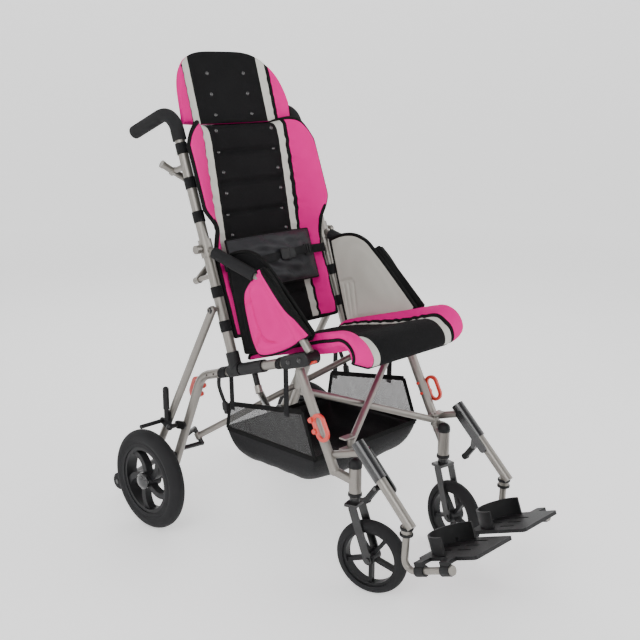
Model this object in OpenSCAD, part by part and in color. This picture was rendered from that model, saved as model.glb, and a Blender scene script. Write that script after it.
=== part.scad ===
// Special needs buggy: a cross-folding push chair with a tilted sling seat,
// swivel casters, telescoping footrests, wheel locks and four tie-down loops.
// Millimetres, +Z up, the buggy heads along -Y, left is +X.

/* [Side frames] */
// Distance from the middle to each side frame
side_x = 225; // [215:1:240]
// Diameter of the seat rails, rear legs and front legs
tube_d = 26; // [22:1:26]
// Diameter of the back posts
post_d = 28; // [24:1:28]
// Diameter of the rear struts
strut_d = 22; // [18:1:24]
// Diameter of the arm tubes
arm_d = 22; // [18:1:24]
// Bend radius of the rail where the rear leg turns down
rail_bend = 70; // [50:1:90]

/* [Handles] */
// Outside diameter of the foam grips
grip_d = 38; // [34:1:42]
// Bend radius of the push handles
handle_bend = 55; // [45:1:60]
// Outside diameter of the foam on the arm tubes
arm_foam_d = 32; // [28:1:36]

/* [Rear wheels] */
// Radius of the rear wheels
wheel_r = 146; // [140:1:152]
// Width of the rear tyres
tyre_w = 45; // [38:1:48]
// Distance from the middle to each rear wheel
wheel_x = 326; // [324:1:336]
// Height of the rear tyre from its seat on the rim to its tread
tyre_h = 48; // [42:1:54]
// Diameter of the rear axles
axle_d = 12; // [10:1:14]

/* [Casters] */
// Radius of the caster wheels
caster_r = 98; // [90:1:100]
// Width of the caster tyres
caster_w = 36; // [30:1:38]
// Distance of the caster axle from the swivel axis
trail = 50; // [40:1:55]
// Swivel of the right caster as it stands
right_caster_turn = 15; // [-30:1:30]
// Swivel of the left caster as it stands
left_caster_turn = -9; // [-30:1:30]

/* [Fold] */
// Distance that the left side frame moves towards the right one
fold_travel = 110; // [90:1:120]
// Diameter of the cross tubes
cross_d = 20; // [16:1:21]
// Diameter of the pivot pins
pin_d = 8; // [6:0.5:9]

/* [Footrests] */
// Diameter of the sliding foot tubes
foot_tube_d = 26; // [22:1:27]
// Wall of the black receivers
receiver_wall = 4; // [3:0.5:5]
// Width of a footplate
plate_w = 150; // [130:1:155]
// Length of a footplate
plate_l = 178; // [160:1:190]
// Pitch of the footplates, toes up
plate_pitch = 21; // [15:1:25]

/* [Seat] */
// Length of the flat part of the seat cushion
seat_l = 362; // [350:1:370]
// Thickness of the seat cushion in its middle
seat_t = 36; // [30:1:42]
// Thickness of the back cushion in its middle
back_t = 36; // [30:1:40]
// Height of the top of the head cushion
head_top = 1345; // [1300:1:1380]
// Height of the head cushion, which stands on the back cushion
head_h = 194.4; // [180:0.1:220]
// Number of cross channels sewn into the back cushion
channels = 6; // [4:1:7]

/* [Hidden] */
$fn = 48;

// Clearances: a running pin or slide, a seat in one body, and bodies that pass
run_gap = 0.05;
fit_gap = 0.1;
pass_gap = 0.3;

// Side view points as [y, z], measured from the ground under the rear axle
leg_foot = [8, 165];
rail_corner = [-122, 460];
rail_front = [-530, 592];
strut_top = [-212, 670];
strut_foot = [52, 205];
post_low = [-265, 523];
post_high = [-26, 1190];
handle_tip = [138, 1123];
arm_elbow = [-415, 761];
arm_front = [-548, 613];
front_leg_top = [-497, 556];
front_leg_foot = [-622, 316];
gusset_bolt = [-471, 508];

// Heights of what is fixed on the posts and legs
arm_z = 826;
grip_low_z = 1108;
post_foot_z = 509;
post_cup_z = 556;
stub_z = 352;
axle_bolt_z = 192;
lock_root_z = 300;

// Heads of bolts, and how far bars and cuts run on past the face that they meet
bolt_head_d = 13;
root_lap = 1;
cut_over = 20;

leg_x = side_x - tube_d / 2;
rail_dir = unit2(rail_front - rail_corner);
rail_up = [-rail_dir[1], rail_dir[0]] * (rail_dir[0] < 0 ? -1 : 1);
post_dir = unit2(post_high - post_low);
post_back = [post_dir[1], -post_dir[0]];
leg_dir = unit2(front_leg_foot - front_leg_top);
arm_start = on_post(arm_z);
clamp_d = post_d + 9;

function unit2(v) = v / norm(v);
function unit3(v) = v / norm(v);
function at(x, p) = [x, p[0], p[1]];
function on_rail(s) = rail_corner + rail_dir * s;
function on_post(z) = post_low + post_dir * ((z - post_low[1]) / post_dir[1]);
function on_leg(z) = front_leg_top + leg_dir * ((z - front_leg_top[1]) / leg_dir[1]);
function on_rear_leg(z) =
  leg_foot + (rail_corner - leg_foot) * ((z - leg_foot[1]) / (rail_corner[1] - leg_foot[1]));
function mirrored(v) = [-v[0], v[1], v[2]];

// Places a flat outline, drawn as [y, z], upright at x and gives it a thickness
module upright(x, t) {
  translate([x, 0, 0])
    rotate([90, 0, 90])
      linear_extrude(t)
        children();
}

// Turns +Z to the direction v
module aim(v) {
  rotate([0, acos(v[2] / norm(v)), atan2(v[1], v[0])])
    children();
}

// Round bar between two points
module rod(a, b, d) {
  translate(a)
    aim(b - a)
      cylinder(h = norm(b - a), d = d);
}

// Straight bar with two round ends, as a flat outline; ease makes its flanks narrower than the ends
module bar2d(a, b, r, ease = 0) {
  turn = atan2(b[1] - a[1], b[0] - a[0]);
  translate(a)
    circle(r);
  translate(b)
    circle(r);
  translate(a)
    rotate(turn)
      translate([0, ease - r])
        square([norm(b - a), 2 * (r - ease)]);
}

// Round ends and knees are thicker than their rod by this
knee_step = 1;
// Straight runs reach this far into a bend, which is thinner by bend_step, so that they fuse
bend_lap = 1;
bend_step = 0.8;

// Rod that runs through flat points and turns at each inner one with a true bend
module bent_rod(x, pts, d, bend) {
  last = len(pts) - 1;
  turns = [for (i = [1 : last - 1]) turn_at(pts[i - 1], pts[i], pts[i + 1])];
  cuts = [for (t = turns) bend * tan(abs(t) / 2)];
  translate([x, 0, 0])
    rotate([90, 0, 90]) {
      for (i = [0 : last - 1]) {
        way = unit2(pts[i + 1] - pts[i]);
        a = pts[i] + way * (i == 0 ? 0 : cuts[i - 1] - bend_lap);
        b = pts[i + 1] - way * (i == last - 1 ? 0 : cuts[i] - bend_lap);
        rod([a[0], a[1], 0], [b[0], b[1], 0], d);
      }
      for (i = [1 : last - 1])
        elbow(pts[i - 1], pts[i], turns[i - 1], cuts[i - 1], d - bend_step, bend);
    }
}

function turn_at(a, b, c) =
  let (p = unit2(b - a), q = unit2(c - b))
  atan2(p[0] * q[1] - p[1] * q[0], p * q);

module elbow(a, b, turn, cut, d, bend) {
  way = unit2(b - a);
  side = [-way[1], way[0]] * sign(turn);
  mid = b - way * cut + side * bend;
  start = atan2(-side[1], -side[0]);
  translate([mid[0], mid[1], 0])
    rotate(turn > 0 ? start : start + turn)
      rotate_extrude(angle = abs(turn))
        translate([bend, 0])
          circle(d = d);
}

// Tube of the given bore round the line from a to b
module sleeve(a, b, outer, bore) {
  way = unit3(b - a);
  difference() {
    rod(a, b, outer);
    rod(a - way, b + way, bore);
  }
}

// Eye of a cross tube: a round boss about the axis v
module eye(p, v, d, h) {
  rod(p - v * h / 2, p + v * h / 2, d);
}

// Side frame: rear leg and seat rail are one bent tube
rail_path = [leg_foot, rail_corner, rail_front];
hole_d = 6.5;
rail_holes = [40, 70, 128, 158];

module rail_tube(grow = 0) {
  bent_rod(side_x, rail_path, tube_d + grow, rail_bend);
}

module side_tube() {
  color("silver")
    difference() {
      rail_tube();
      for (s = rail_holes)
        translate(at(side_x - tube_d, on_rail(s)))
          rotate([0, 90, 0])
            cylinder(h = 2 * tube_d, d = hole_d);
    }
}

// Rear bracket: axle plate, axle, wheel lock post and the hinge of the rear cross tube
plate_t = 6;
outer_x = side_x + tube_d / 2;
axle = [0, wheel_r];
axle_end = wheel_x + 30;
axle_step = 5;
axle_cap_t = 3;
axle_cap_wall = 4;
hub_in = 26;
bolt_head_t = 4;
lock_pivot = [-28, wheel_r + 150];
lock_pin_d = 10;
lock_post_r = 12;
lock_step = 2;
lock_cap_wall = 3;
lock_cap_t = 3;
lock_x = outer_x + plate_t + strut_d + 3;
lock_t = 4;
tip_arm = [62, 166];
corner_r = 15;
flank_ease = 0.6;

rear_hinge_x = 150;
rear_hinge = [-16, 222];
sleeve_at = 228;
sleeve_l = 90;
sleeve_wall = 4;
rear_drop = 47;
cross_step = 13;

// Fold: how far each rail sleeve runs, and the axis and angle of the rear cross tubes
rail_way = [0, rail_dir[0], rail_dir[1]];
rear_root = [-rear_hinge_x, rear_hinge[0], rear_hinge[1]];
rear_tip = at(side_x, on_rail(sleeve_at) - rail_up * rear_drop);
rear_open = rear_tip - rear_root;
rear_near = rear_open - [fold_travel, 0, 0];
sleeve_run = -(rear_near * rail_way)
  + sqrt(pow(rear_near * rail_way, 2) + rear_open * rear_open - rear_near * rear_near);
rear_shut = rear_near + rail_way * sleeve_run;
rear_axis = unit3(cross(rear_shut, rear_open));
rear_angle = acos(rear_open * rear_shut / (rear_open * rear_open));

// Lower end of the rear cross tube that is hinged on the left side
function rear_pin(step) = mirrored(rear_root) + mirrored(rear_axis) * step;
hinge_arm = cross_d / 2 + 14;
hinge_bar_d = 14;
hinge_pin_wall = 3;

module rear_bracket(step) {
  color("dimgray")
    difference() {
      union() {
        axle_plate();
        lock_post();
        rear_hinge_bars(step);
      }
      rail_tube(2 * fit_gap);
    }
}

module axle_plate() {
  bolt = on_rear_leg(axle_bolt_z);
  upright(outer_x + fit_gap, plate_t - fit_gap) {
    bar2d(bolt, strut_foot, corner_r, flank_ease);
    bar2d(strut_foot, tip_arm, corner_r, flank_ease);
    bar2d(tip_arm, axle, corner_r, flank_ease);
    bar2d(axle, bolt, corner_r, flank_ease);
    polygon([bolt, strut_foot, tip_arm, axle]);
  }
  rod(at(outer_x + root_lap, axle), at(axle_end, axle), axle_d);
  rod(at(outer_x + root_lap, axle), at(wheel_x - hub_in, axle), axle_d + 2 * axle_step);
  rod(at(axle_end, axle), at(axle_end + axle_cap_t, axle), axle_d + 2 * axle_cap_wall);
  rod(at(outer_x + plate_t - root_lap, bolt), at(outer_x + plate_t + bolt_head_t, bolt), bolt_head_d);
}

module lock_post() {
  root = on_rear_leg(lock_root_z);
  upright(outer_x + fit_gap, plate_t - fit_gap)
    bar2d(root, lock_pivot, lock_post_r);
  rod(at(outer_x + root_lap, lock_pivot), at(lock_x - pass_gap, lock_pivot), lock_pin_d + 2 * lock_step);
  rod(at(outer_x + root_lap, lock_pivot), at(lock_x + lock_t + root_lap, lock_pivot), lock_pin_d);
  rod(at(lock_x + lock_t + pass_gap, lock_pivot), at(lock_x + lock_t + lock_cap_t, lock_pivot),
    lock_pin_d + 2 * lock_cap_wall);
}

// Two round bars reach in from the leg and hold the pin of the rear cross tube
module rear_hinge_bars(step) {
  p = rear_pin(step);
  v = mirrored(rear_axis);
  for (k = [-1, 1]) {
    c = p + v * hinge_arm * k;
    rod(c, at(side_x, on_rear_leg(c[2])), hinge_bar_d);
    translate(c)
      sphere(d = hinge_bar_d + knee_step);
    rod(p + v * (cross_d / 2 + pass_gap) * k, c, pin_d + 2 * hinge_pin_wall);
  }
  rod(p - v * hinge_arm, p + v * hinge_arm, pin_d);
}

// Front leg: tube, gusset, hanger stub, caster barrel and the hinge of the front cross tube
barrel = [182, -665];
barrel_d = 32;
barrel_low = 252;
barrel_high = 336;
stem_d = 16;
hanger_x = leg_x - 8;
hang_top = [-690, 407];
hang_dir = unit2([-166, -160]);
stub_d = 20;
stub_rear = on_leg(stub_z);
front_hinge = [172, -640, 372];
front_tip = [172, -471, 498];
front_step = 14;
lug_t = 4;
lug_d = 22;
lug_rise = 5;
gusset_t = 5;
block_in = 16;
gusset_x = leg_x - block_in - fit_gap - gusset_t;
loop_t = 7;
loop_l = 30;
loop_r = 22;
loop_hole_r = 13;
loop_bolt_d = 8;
loop_mid = 426;
stub_at = 34;
stub_back = 4;
barrel_arm_z = 38;
barrel_arm_thin = 2;
stem_l = 62;
stem_over = 13;
gusset_top = [10, 18];
gusset_r = 13;
seat_half_l = 10;
seat_arm_t = 7;
lug_pin_over = 3;

function on_hanger(s) = hang_top + hang_dir * s;
function loop_bolts(mid, way) = [for (k = [-1, 1]) mid + way * loop_l / 2 * k];

module front_leg(step) {
  stub_front = on_hanger(stub_at) + [stub_d / 2 + stub_back, 0];
  color("silver")
    difference() {
      union() {
        rod(at(leg_x, front_leg_top), at(leg_x, front_leg_foot), tube_d);
        translate(at(leg_x, front_leg_foot))
          sphere(d = tube_d + knee_step);
        rod(at(leg_x, front_leg_foot), [barrel[0], barrel[1], barrel_low + barrel_arm_z],
          tube_d - barrel_arm_thin);
        translate([barrel[0], barrel[1], barrel_low])
          cylinder(h = barrel_high - barrel_low, d = barrel_d);
        translate([barrel[0], barrel[1], barrel_high])
          sphere(d = barrel_d - 2);
        rod(at(hanger_x, stub_rear), at(hanger_x, stub_front), stub_d);
        front_hinge_lugs(step);
        upright(gusset_x, gusset_t)
          bar2d(front_leg_top + gusset_top, gusset_bolt, gusset_r);
        gusset_arm(-step);
        rod(at(gusset_x + root_lap, gusset_bolt), at(gusset_x - bolt_head_t, gusset_bolt), bolt_head_d);
      }
      translate([barrel[0], barrel[1], barrel_low - root_lap])
        cylinder(h = root_lap + stem_l + stem_over, d = stem_d + 2 * run_gap);
      for (p = loop_bolts(on_leg(loop_mid), leg_dir))
        translate(at(leg_x - tube_d, p))
          rotate([0, 90, 0])
            cylinder(h = 2 * tube_d, d = loop_bolt_d + 2 * fit_gap);
      receiver_space();
      front_block_space();
    }
}

// Clevis that carries the lower end of the front cross tube
module front_hinge_lugs(step) {
  p = front_hinge + [0, 0, step];
  for (z = [cross_d / 2 + lug_rise, -cross_d / 2 - pass_gap - lug_t]) {
    translate([p[0], p[1] - lug_d / 2, p[2] + z])
      cube([hanger_x - p[0], lug_d, lug_t]);
    translate([p[0], p[1], p[2] + z])
      cylinder(h = lug_t, d = lug_d);
  }
  translate([p[0], p[1], p[2] - cross_d / 2 - lug_t - lug_pin_over])
    cylinder(h = cross_d + lug_rise + 2 * (lug_t + lug_pin_over), d = pin_d);
}

// Seat on the gusset for the upper end of the cross tube from the other side
module gusset_arm(step) {
  z = front_tip[2] + step + cross_d / 2 + pass_gap;
  translate([front_tip[0] - seat_half_l, front_tip[1] - seat_half_l, z])
    cube([gusset_x + gusset_t - front_tip[0] + seat_half_l, 2 * seat_half_l, seat_arm_t]);
}

// Back post with its push handle
post_path = [post_low, post_high, handle_tip];
back_hinge_z = 1042;
back_root = on_post(back_hinge_z);
back_reach = 303;
back_gap = 58;
back_layer = cross_d + 1;
back_hinge_d = 16;
back_pin_over = 6;
back_rest_d = 14;
back_rest_in = 8;
back_way = [0, post_back[0], post_back[1]];

function back_off(k) = back_gap + back_layer * k;

module back_post(own, other) {
  hinge = at(side_x, back_root);
  rest = at(side_x - back_rest_in, back_root - post_dir * back_reach);
  color("silver")
    union() {
      bent_rod(side_x, post_path, post_d, handle_bend);
      rod(hinge, hinge + back_way * (back_off(own) - cross_d / 2 - pass_gap), back_hinge_d);
      rod(hinge, hinge + back_way * (back_off(own) + cross_d / 2 + back_pin_over), pin_d);
      rod(rest, rest + back_way * (back_off(other) - cross_d / 2 - pass_gap), back_rest_d);
    }
}

strut_bolt_d = 12;
strut_bolt_over = 3;

module rear_strut() {
  x = outer_x + plate_t + strut_d / 2 + knee_step / 2 + pass_gap;
  color("silver")
    union() {
      rod(at(x, strut_top), at(x, strut_foot), strut_d);
      for (p = [strut_top, strut_foot])
        translate(at(x, p))
          sphere(d = strut_d + knee_step);
      rod(at(side_x + post_d / 2 + fit_gap, strut_top), at(x + strut_d / 2 + strut_bolt_over, strut_top),
        strut_bolt_d);
      rod(at(x, strut_foot), at(x + strut_d / 2 + strut_bolt_over, strut_foot), strut_bolt_d);
    }
}

// Foam on the push handle and on the arm tube
grip_over = 8;
arm_foam_from = 36;
arm_foam_to = 202;

module foam_sleeves() {
  low = on_post(grip_low_z);
  end = unit2(handle_tip - post_high);
  arm_way = unit2(arm_elbow - arm_start);
  color("dimgray") {
    difference() {
      bent_rod(side_x, [low, post_high, handle_tip + end * grip_over], grip_d, handle_bend);
      bent_rod(side_x, [low - post_dir, post_high, handle_tip], post_d + 2 * fit_gap, handle_bend);
    }
    sleeve(at(side_x, arm_start + arm_way * arm_foam_from), at(side_x, arm_start + arm_way * arm_foam_to),
      arm_foam_d, arm_d + 2 * fit_gap);
  }
}

arm_bend = 40;
arm_end = unit2(arm_front - arm_elbow);
clamp_half = 24;
clamp_bolt_d = 12;
knob_d = 24;
knob_from = side_x + post_d / 2 + 12;
knob_to = knob_from + 12;

module arm_bar(grow = 0) {
  bent_rod(side_x, [arm_start, arm_elbow, arm_front], arm_d + grow, arm_bend);
}

// Arm tube with the clamp that grips the back post
module arm_tube() {
  clamp = arm_start;
  color("silver")
    difference() {
      union() {
        arm_bar();
        rod(at(side_x, clamp - post_dir * clamp_half), at(side_x, clamp + post_dir * clamp_half), clamp_d);
        rod(at(side_x, clamp), at((knob_from + knob_to) / 2, clamp), clamp_bolt_d);
        rod(at(knob_from, clamp), at(knob_to, clamp), knob_d);
      }
      rod(at(side_x, clamp - post_dir * 2 * clamp_half), at(side_x, clamp + post_dir * 2 * clamp_half),
        post_d + 2 * fit_gap);
    }
}

// Quilted side panel between the arm tube and the seat rail
panel_t = 8;
panel_points = [
  [-302, 716], [-390, 752], [-412, 752], [-524, 628], [-500, 606], [-292, 540], [-284, 660]
];

module side_panel() {
  color("deeppink")
    difference() {
      upright(side_x - panel_t / 2, panel_t)
        polygon(panel_points);
      arm_bar(2 * pass_gap);
    }
}

// Oval tie-down loops on the front and rear legs, each held by two bolts
module oval_loop(mid, way, shift) {
  a = mid + way * loop_l / 2 + shift;
  b = mid - way * loop_l / 2 + shift;
  difference() {
    union() {
      bar2d(a, b, loop_r);
      for (p = loop_bolts(mid, way))
        bar2d(p, p + shift * 0.4, loop_bolt_d);
    }
    bar2d(a, b, loop_hole_r);
  }
}

rear_loop_mid = 410;
loop_shift = 24;
loop_bolt_over = 5;

module tie_downs() {
  rear_way = unit2(rail_corner - leg_foot);
  front_x = leg_x + tube_d / 2 + fit_gap;
  rear_x = side_x - tube_d / 2 - fit_gap - loop_t;
  color("tomato") {
    upright(front_x, loop_t)
      oval_loop(on_leg(loop_mid), leg_dir, [-loop_shift, 0]);
    for (p = loop_bolts(on_leg(loop_mid), leg_dir)) {
      rod(at(leg_x - tube_d / 2 - loop_bolt_over, p), at(front_x + loop_t + bolt_head_t, p), loop_bolt_d);
      rod(at(front_x + loop_t - root_lap, p), at(front_x + loop_t + loop_bolt_over, p), bolt_head_d);
    }
    upright(rear_x, loop_t)
      oval_loop(on_rear_leg(rear_loop_mid), rear_way, [loop_shift, 0]);
    for (p = loop_bolts(on_rear_leg(rear_loop_mid), rear_way))
      rod(at(rear_x - loop_bolt_over, p), at(rear_x + loop_t - root_lap, p), bolt_head_d);
  }
}

// Black fittings: the block that joins rail, leg and arm, and the foot of the back post
block_w = 46;
block_r = 18;
block_from = 372;
block_to = 438;
foot_half = 22;
foot_wall = 5;
cup_wall = 4;
post_over = 3;

module front_block_space() {
  upright(leg_x - block_in - fit_gap, block_w + 2 * fit_gap)
    bar2d(on_rail(block_from), on_rail(block_to), block_r + fit_gap, flank_ease);
}

module fittings() {
  post_foot = at(side_x, on_post(post_foot_z));
  along = [0, rail_dir[0], rail_dir[1]];
  color("black") {
    difference() {
      upright(leg_x - block_in, block_w)
        bar2d(on_rail(block_from), on_rail(block_to), block_r, flank_ease);
      rail_tube(2 * fit_gap);
      rod(at(side_x, arm_front + arm_end * fit_gap), at(side_x, arm_elbow), arm_d + 2 * fit_gap);
    }
    difference() {
      union() {
        rod(post_foot - along * foot_half, post_foot + along * foot_half, tube_d + 2 * foot_wall);
        rod(post_foot, at(side_x, on_post(post_cup_z)), post_d + 2 * cup_wall);
      }
      rail_tube(2 * fit_gap);
      rod(at(side_x, post_low - post_dir * post_over), at(side_x, on_post(post_cup_z + cut_over)),
        post_d + 2 * fit_gap);
    }
  }
}

// Hook and loop bands that tie the cover to the back post
band_heights = [1086, 996, 908, 712, 623];
band_l = 30;
band_t = 2;

module post_bands() {
  color("black")
    for (z = band_heights)
      sleeve(at(side_x, on_post(z) - post_dir * band_l / 2), at(side_x, on_post(z) + post_dir * band_l / 2),
        post_d + 2 * band_t, post_d + 2 * fit_gap);
}

// Wheels: tyres are revolved, rims have five swept spokes
module wheel_at(x, p) {
  translate(at(x, p))
    rotate([0, 90, 0])
      children();
}

wheel_fn = 96;
bead_r = wheel_r - tyre_h;
wall_in = 2;
groove_at = 12;
groove_r = 1.6;
groove_in = 1.2;

// Tyre section: round tread on flat walls, cut off where the tyre sits on its rim
module tyre_section() {
  half = tyre_w / 2;
  intersection() {
    union() {
      translate([wheel_r - half, 0])
        circle(half);
      translate([bead_r, wall_in - half])
        square([wheel_r - half - bead_r, tyre_w - 2 * wall_in]);
    }
    translate([bead_r, -half])
      square([wheel_r, tyre_w]);
  }
}

module rear_tyre() {
  color("dimgray")
    wheel_at(wheel_x, axle)
      difference() {
        rotate_extrude($fn = wheel_fn)
          tyre_section();
        for (k = [-1, 1])
          rotate_extrude($fn = wheel_fn)
            translate([bead_r + groove_at, k * (tyre_w / 2 - groove_in)])
              circle(groove_r);
      }
}

// One spoke, swept to one side, as the crescent between two circles
module swept_spoke(inner, outer, wide) {
  bow = outer * 0.62;
  intersection() {
    difference() {
      translate([outer * 0.5, -bow * 0.72])
        circle(bow + wide / 2);
      translate([outer * 0.5, -bow * 0.72])
        circle(bow - wide / 2);
    }
    difference() {
      translate([0, -outer * 0.25])
        square([outer, outer * 1.1]);
      circle(inner);
    }
    circle(outer);
  }
}

rim_in = 4.5;
rim_wall = 10;
rim_lap = 5;
spokes = 5;
spoke_t = 22;
spoke_w = 17;
spoke_low = -9;
hub_r = 23;
hub_l = 50;
hub_low = -24;
hub_lap = 3;

module rear_rim() {
  rim_r = bead_r - fit_gap;
  wide = tyre_w - 2 * rim_in;
  color("gray")
    wheel_at(wheel_x, axle)
      difference() {
        union() {
          difference() {
            translate([0, 0, -wide / 2])
              cylinder(h = wide, r = rim_r, $fn = wheel_fn);
            translate([0, 0, -wide])
              cylinder(h = 2 * wide, r = rim_r - rim_wall, $fn = wheel_fn);
          }
          for (i = [0 : spokes - 1])
            rotate(360 / spokes * i)
              translate([0, 0, spoke_low])
                linear_extrude(spoke_t)
                  swept_spoke(hub_r - hub_lap, rim_r - rim_lap, spoke_w);
          translate([0, 0, hub_low])
            cylinder(h = hub_l, r = hub_r);
        }
        translate([0, 0, hub_low - cut_over])
          cylinder(h = hub_l + 2 * cut_over, d = axle_d + 2 * run_gap);
      }
}

// Casters, drawn about the swivel axis and then turned as they stand
caster_axle = [-trail, caster_r];
fork_in = caster_w / 2 + 4;
fork_t = 5;
caster_bead = 76;
caster_axle_d = 8;
crown_drop = 14;
crown_t = 8;
crown_half = 17;
crown_thin = 4;
fork_r = 11;
fork_root = [-6, -11];
nut_t = 4;
nut_d = 14;
caster_rim_half = 13;
caster_rim_wall = 8;
caster_hub_r = 16;
caster_spoke_w = 10;
caster_spoke_t = 16;
caster_spoke_from = 8;

module on_caster(turn) {
  translate([barrel[0], barrel[1], 0])
    rotate(turn)
      children();
}

module caster_fork(turn) {
  crown = barrel_low - crown_drop;
  color("black")
    on_caster(turn)
      union() {
        translate([0, 0, crown])
          cylinder(h = barrel_low + stem_l - crown, d = stem_d);
        translate([0, 0, crown])
          cylinder(h = barrel_low - pass_gap - crown, d = barrel_d - crown_thin);
        translate([-fork_in - fork_t, -crown_half, crown - crown_t])
          cube([2 * (fork_in + fork_t), 2 * crown_half, crown_t]);
        for (x = [-fork_in - fork_t, fork_in])
          upright(x, fork_t)
            bar2d(fork_root + [0, crown], caster_axle, fork_r);
        rod(at(-fork_in - fork_t - nut_t, caster_axle), at(fork_in + fork_t + nut_t, caster_axle),
          caster_axle_d);
        for (x = [-fork_in - fork_t - nut_t, fork_in + fork_t])
          rod(at(x, caster_axle), at(x + nut_t, caster_axle), nut_d);
      }
}

module caster_tyre(turn) {
  half = caster_w / 2;
  color("dimgray")
    on_caster(turn)
      wheel_at(0, caster_axle)
        difference() {
          rotate_extrude($fn = wheel_fn)
            translate([caster_r - half, 0])
              circle(half);
          translate([0, 0, -caster_w])
            cylinder(h = 2 * caster_w, r = caster_bead, $fn = wheel_fn);
        }
}

module caster_rim(turn) {
  rim_r = caster_bead - fit_gap;
  color("gray")
    on_caster(turn)
      wheel_at(0, caster_axle)
        difference() {
          union() {
            difference() {
              translate([0, 0, -caster_rim_half])
                cylinder(h = 2 * caster_rim_half, r = rim_r, $fn = wheel_fn);
              translate([0, 0, -2 * caster_rim_half])
                cylinder(h = 4 * caster_rim_half, r = rim_r - caster_rim_wall, $fn = wheel_fn);
            }
            for (i = [0 : spokes - 1])
              rotate(360 / spokes * i)
                translate([caster_spoke_from, -caster_spoke_w / 2, -caster_spoke_t / 2])
                  cube([rim_r - caster_rim_wall / 2 - caster_spoke_from, caster_spoke_w, caster_spoke_t]);
            translate([0, 0, -fork_in + pass_gap])
              cylinder(h = 2 * (fork_in - pass_gap), r = caster_hub_r);
          }
          translate([0, 0, -fork_in - cut_over])
            cylinder(h = 2 * (fork_in + cut_over), d = caster_axle_d + 2 * run_gap);
        }
}

// Wheel lock: a lever on the lock post with a bar that presses on the tyre
shoe_d = 12;
shoe = [4, 2 * wheel_r + shoe_d / 2 + 10];
lock_grip_d = 20;
lock_top = [3, 114];
lock_mid = [3, 40];
lock_grip_low = [3, 22];
lock_foam_low = [3, 56];
lock_bar_r = 10;
lock_grip_out = 7;
lock_grip_thin = 2;
lock_stem_thin = 6;
lock_cap_room = 4;

module wheel_lock() {
  top = lock_pivot + lock_top;
  grip_x = lock_x + lock_t / 2 + lock_grip_out;
  color("black")
    difference() {
      union() {
        upright(lock_x, lock_t) {
          bar2d(lock_pivot, lock_pivot + lock_mid, lock_bar_r);
          bar2d(lock_pivot, shoe, lock_bar_r);
        }
        rod(at(grip_x, lock_pivot + lock_grip_low), at(grip_x, top), lock_grip_d - lock_stem_thin);
        rod(at(grip_x, lock_pivot + lock_foam_low), at(grip_x, top), lock_grip_d - lock_grip_thin);
        translate(at(grip_x, top))
          sphere(d = lock_grip_d - lock_grip_thin);
        rod(at(lock_x, shoe), at(wheel_x + tyre_w / 2, shoe), shoe_d);
      }
      rod(at(lock_x - cut_over, lock_pivot), at(lock_x + 2 * cut_over, lock_pivot), lock_pin_d + 2 * run_gap);
      rod(at(lock_x + lock_t, lock_pivot), at(lock_x + 2 * cut_over, lock_pivot),
        lock_pin_d + 2 * lock_cap_room);
    }
}

// Footrest hanger: receiver tube and flat bar on the front leg's stub
receiver_l = 108;
receiver_d = foot_tube_d + 2 * receiver_wall;
latch_at = 116;
latch_drop = 27;
latch_pin_d = 6;
latch_w = 12;
space_over = 3;
flat_bar_t = 5;
flat_bar_lap = 3;
flat_bar_r = 11;
flat_bar_from = 30;
flat_bar_to = 140;
latch_ear_t = 4;
latch_ear_r = 8;
latch_ear_at = 12;
latch_pin_over = 3;
latch_head_d = 11;
receiver_end = 4;
latch_reach = [30, -40];
latch_r = 7;
latch_tip_r = 9;

module receiver_space() {
  rod(at(hanger_x, on_hanger(-space_over)), at(hanger_x, on_hanger(receiver_l + space_over)),
    receiver_d + 2 * fit_gap);
}

hang_down = [-hang_dir[1], hang_dir[0]];
latch_pivot = on_hanger(latch_at) - hang_down * latch_drop * sign(hang_down[1]);

module hanger() {
  latch_end = hanger_x + latch_w / 2 + latch_pin_over;
  bar_x = hanger_x - receiver_d / 2 - flat_bar_lap;
  color("black")
    difference() {
      union() {
        rod(at(hanger_x, on_hanger(0)), at(hanger_x, on_hanger(receiver_l)), receiver_d);
        upright(bar_x, flat_bar_t)
          bar2d(on_hanger(flat_bar_from), on_hanger(flat_bar_to), flat_bar_r);
        upright(hanger_x - latch_w / 2 - latch_ear_t - root_lap, latch_ear_t)
          bar2d(on_hanger(receiver_l - latch_ear_at), latch_pivot, latch_ear_r);
        rod(at(hanger_x - latch_w / 2 - latch_pin_over, latch_pivot), at(latch_end, latch_pivot),
          latch_pin_d);
        rod(at(hanger_x + latch_w / 2 + pass_gap, latch_pivot), at(latch_end, latch_pivot), latch_head_d);
      }
      rod(at(hanger_x, on_hanger(receiver_end)), at(hanger_x, on_hanger(receiver_l + 3 * cut_over)),
        foot_tube_d + 2 * run_gap);
    }
}

// Sprung lever that frees the sliding foot tube
module latch_lever() {
  tip = latch_pivot + latch_reach;
  color("black")
    difference() {
      union() {
        upright(hanger_x - latch_w / 2, latch_w)
          bar2d(latch_pivot, tip, latch_r);
        translate(at(hanger_x - latch_w / 2, tip))
          rotate([0, 90, 0])
            cylinder(h = latch_w, r = latch_tip_r);
      }
      rod(at(hanger_x - cut_over, latch_pivot), at(hanger_x + cut_over, latch_pivot),
        latch_pin_d + 2 * run_gap);
    }
}

// Sliding foot tube: inner tube, clamp collar and the bent tube under the plate
plate_way = [-cos(plate_pitch), sin(plate_pitch)];
plate_up = [sin(plate_pitch), cos(plate_pitch)];
toe_tube_d = 18;
toe_low = [-846, 118];
toe_bend = 24;
collar_at = 226;
slide_run = 80;
toe_l = 152;
slide_lap = 6;
foot_lap = 20;
collar_from = 12;
collar_to = 36;
collar_wall = 5;
toe_cap_l = 4;
toe_cap_wall = 3;

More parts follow.
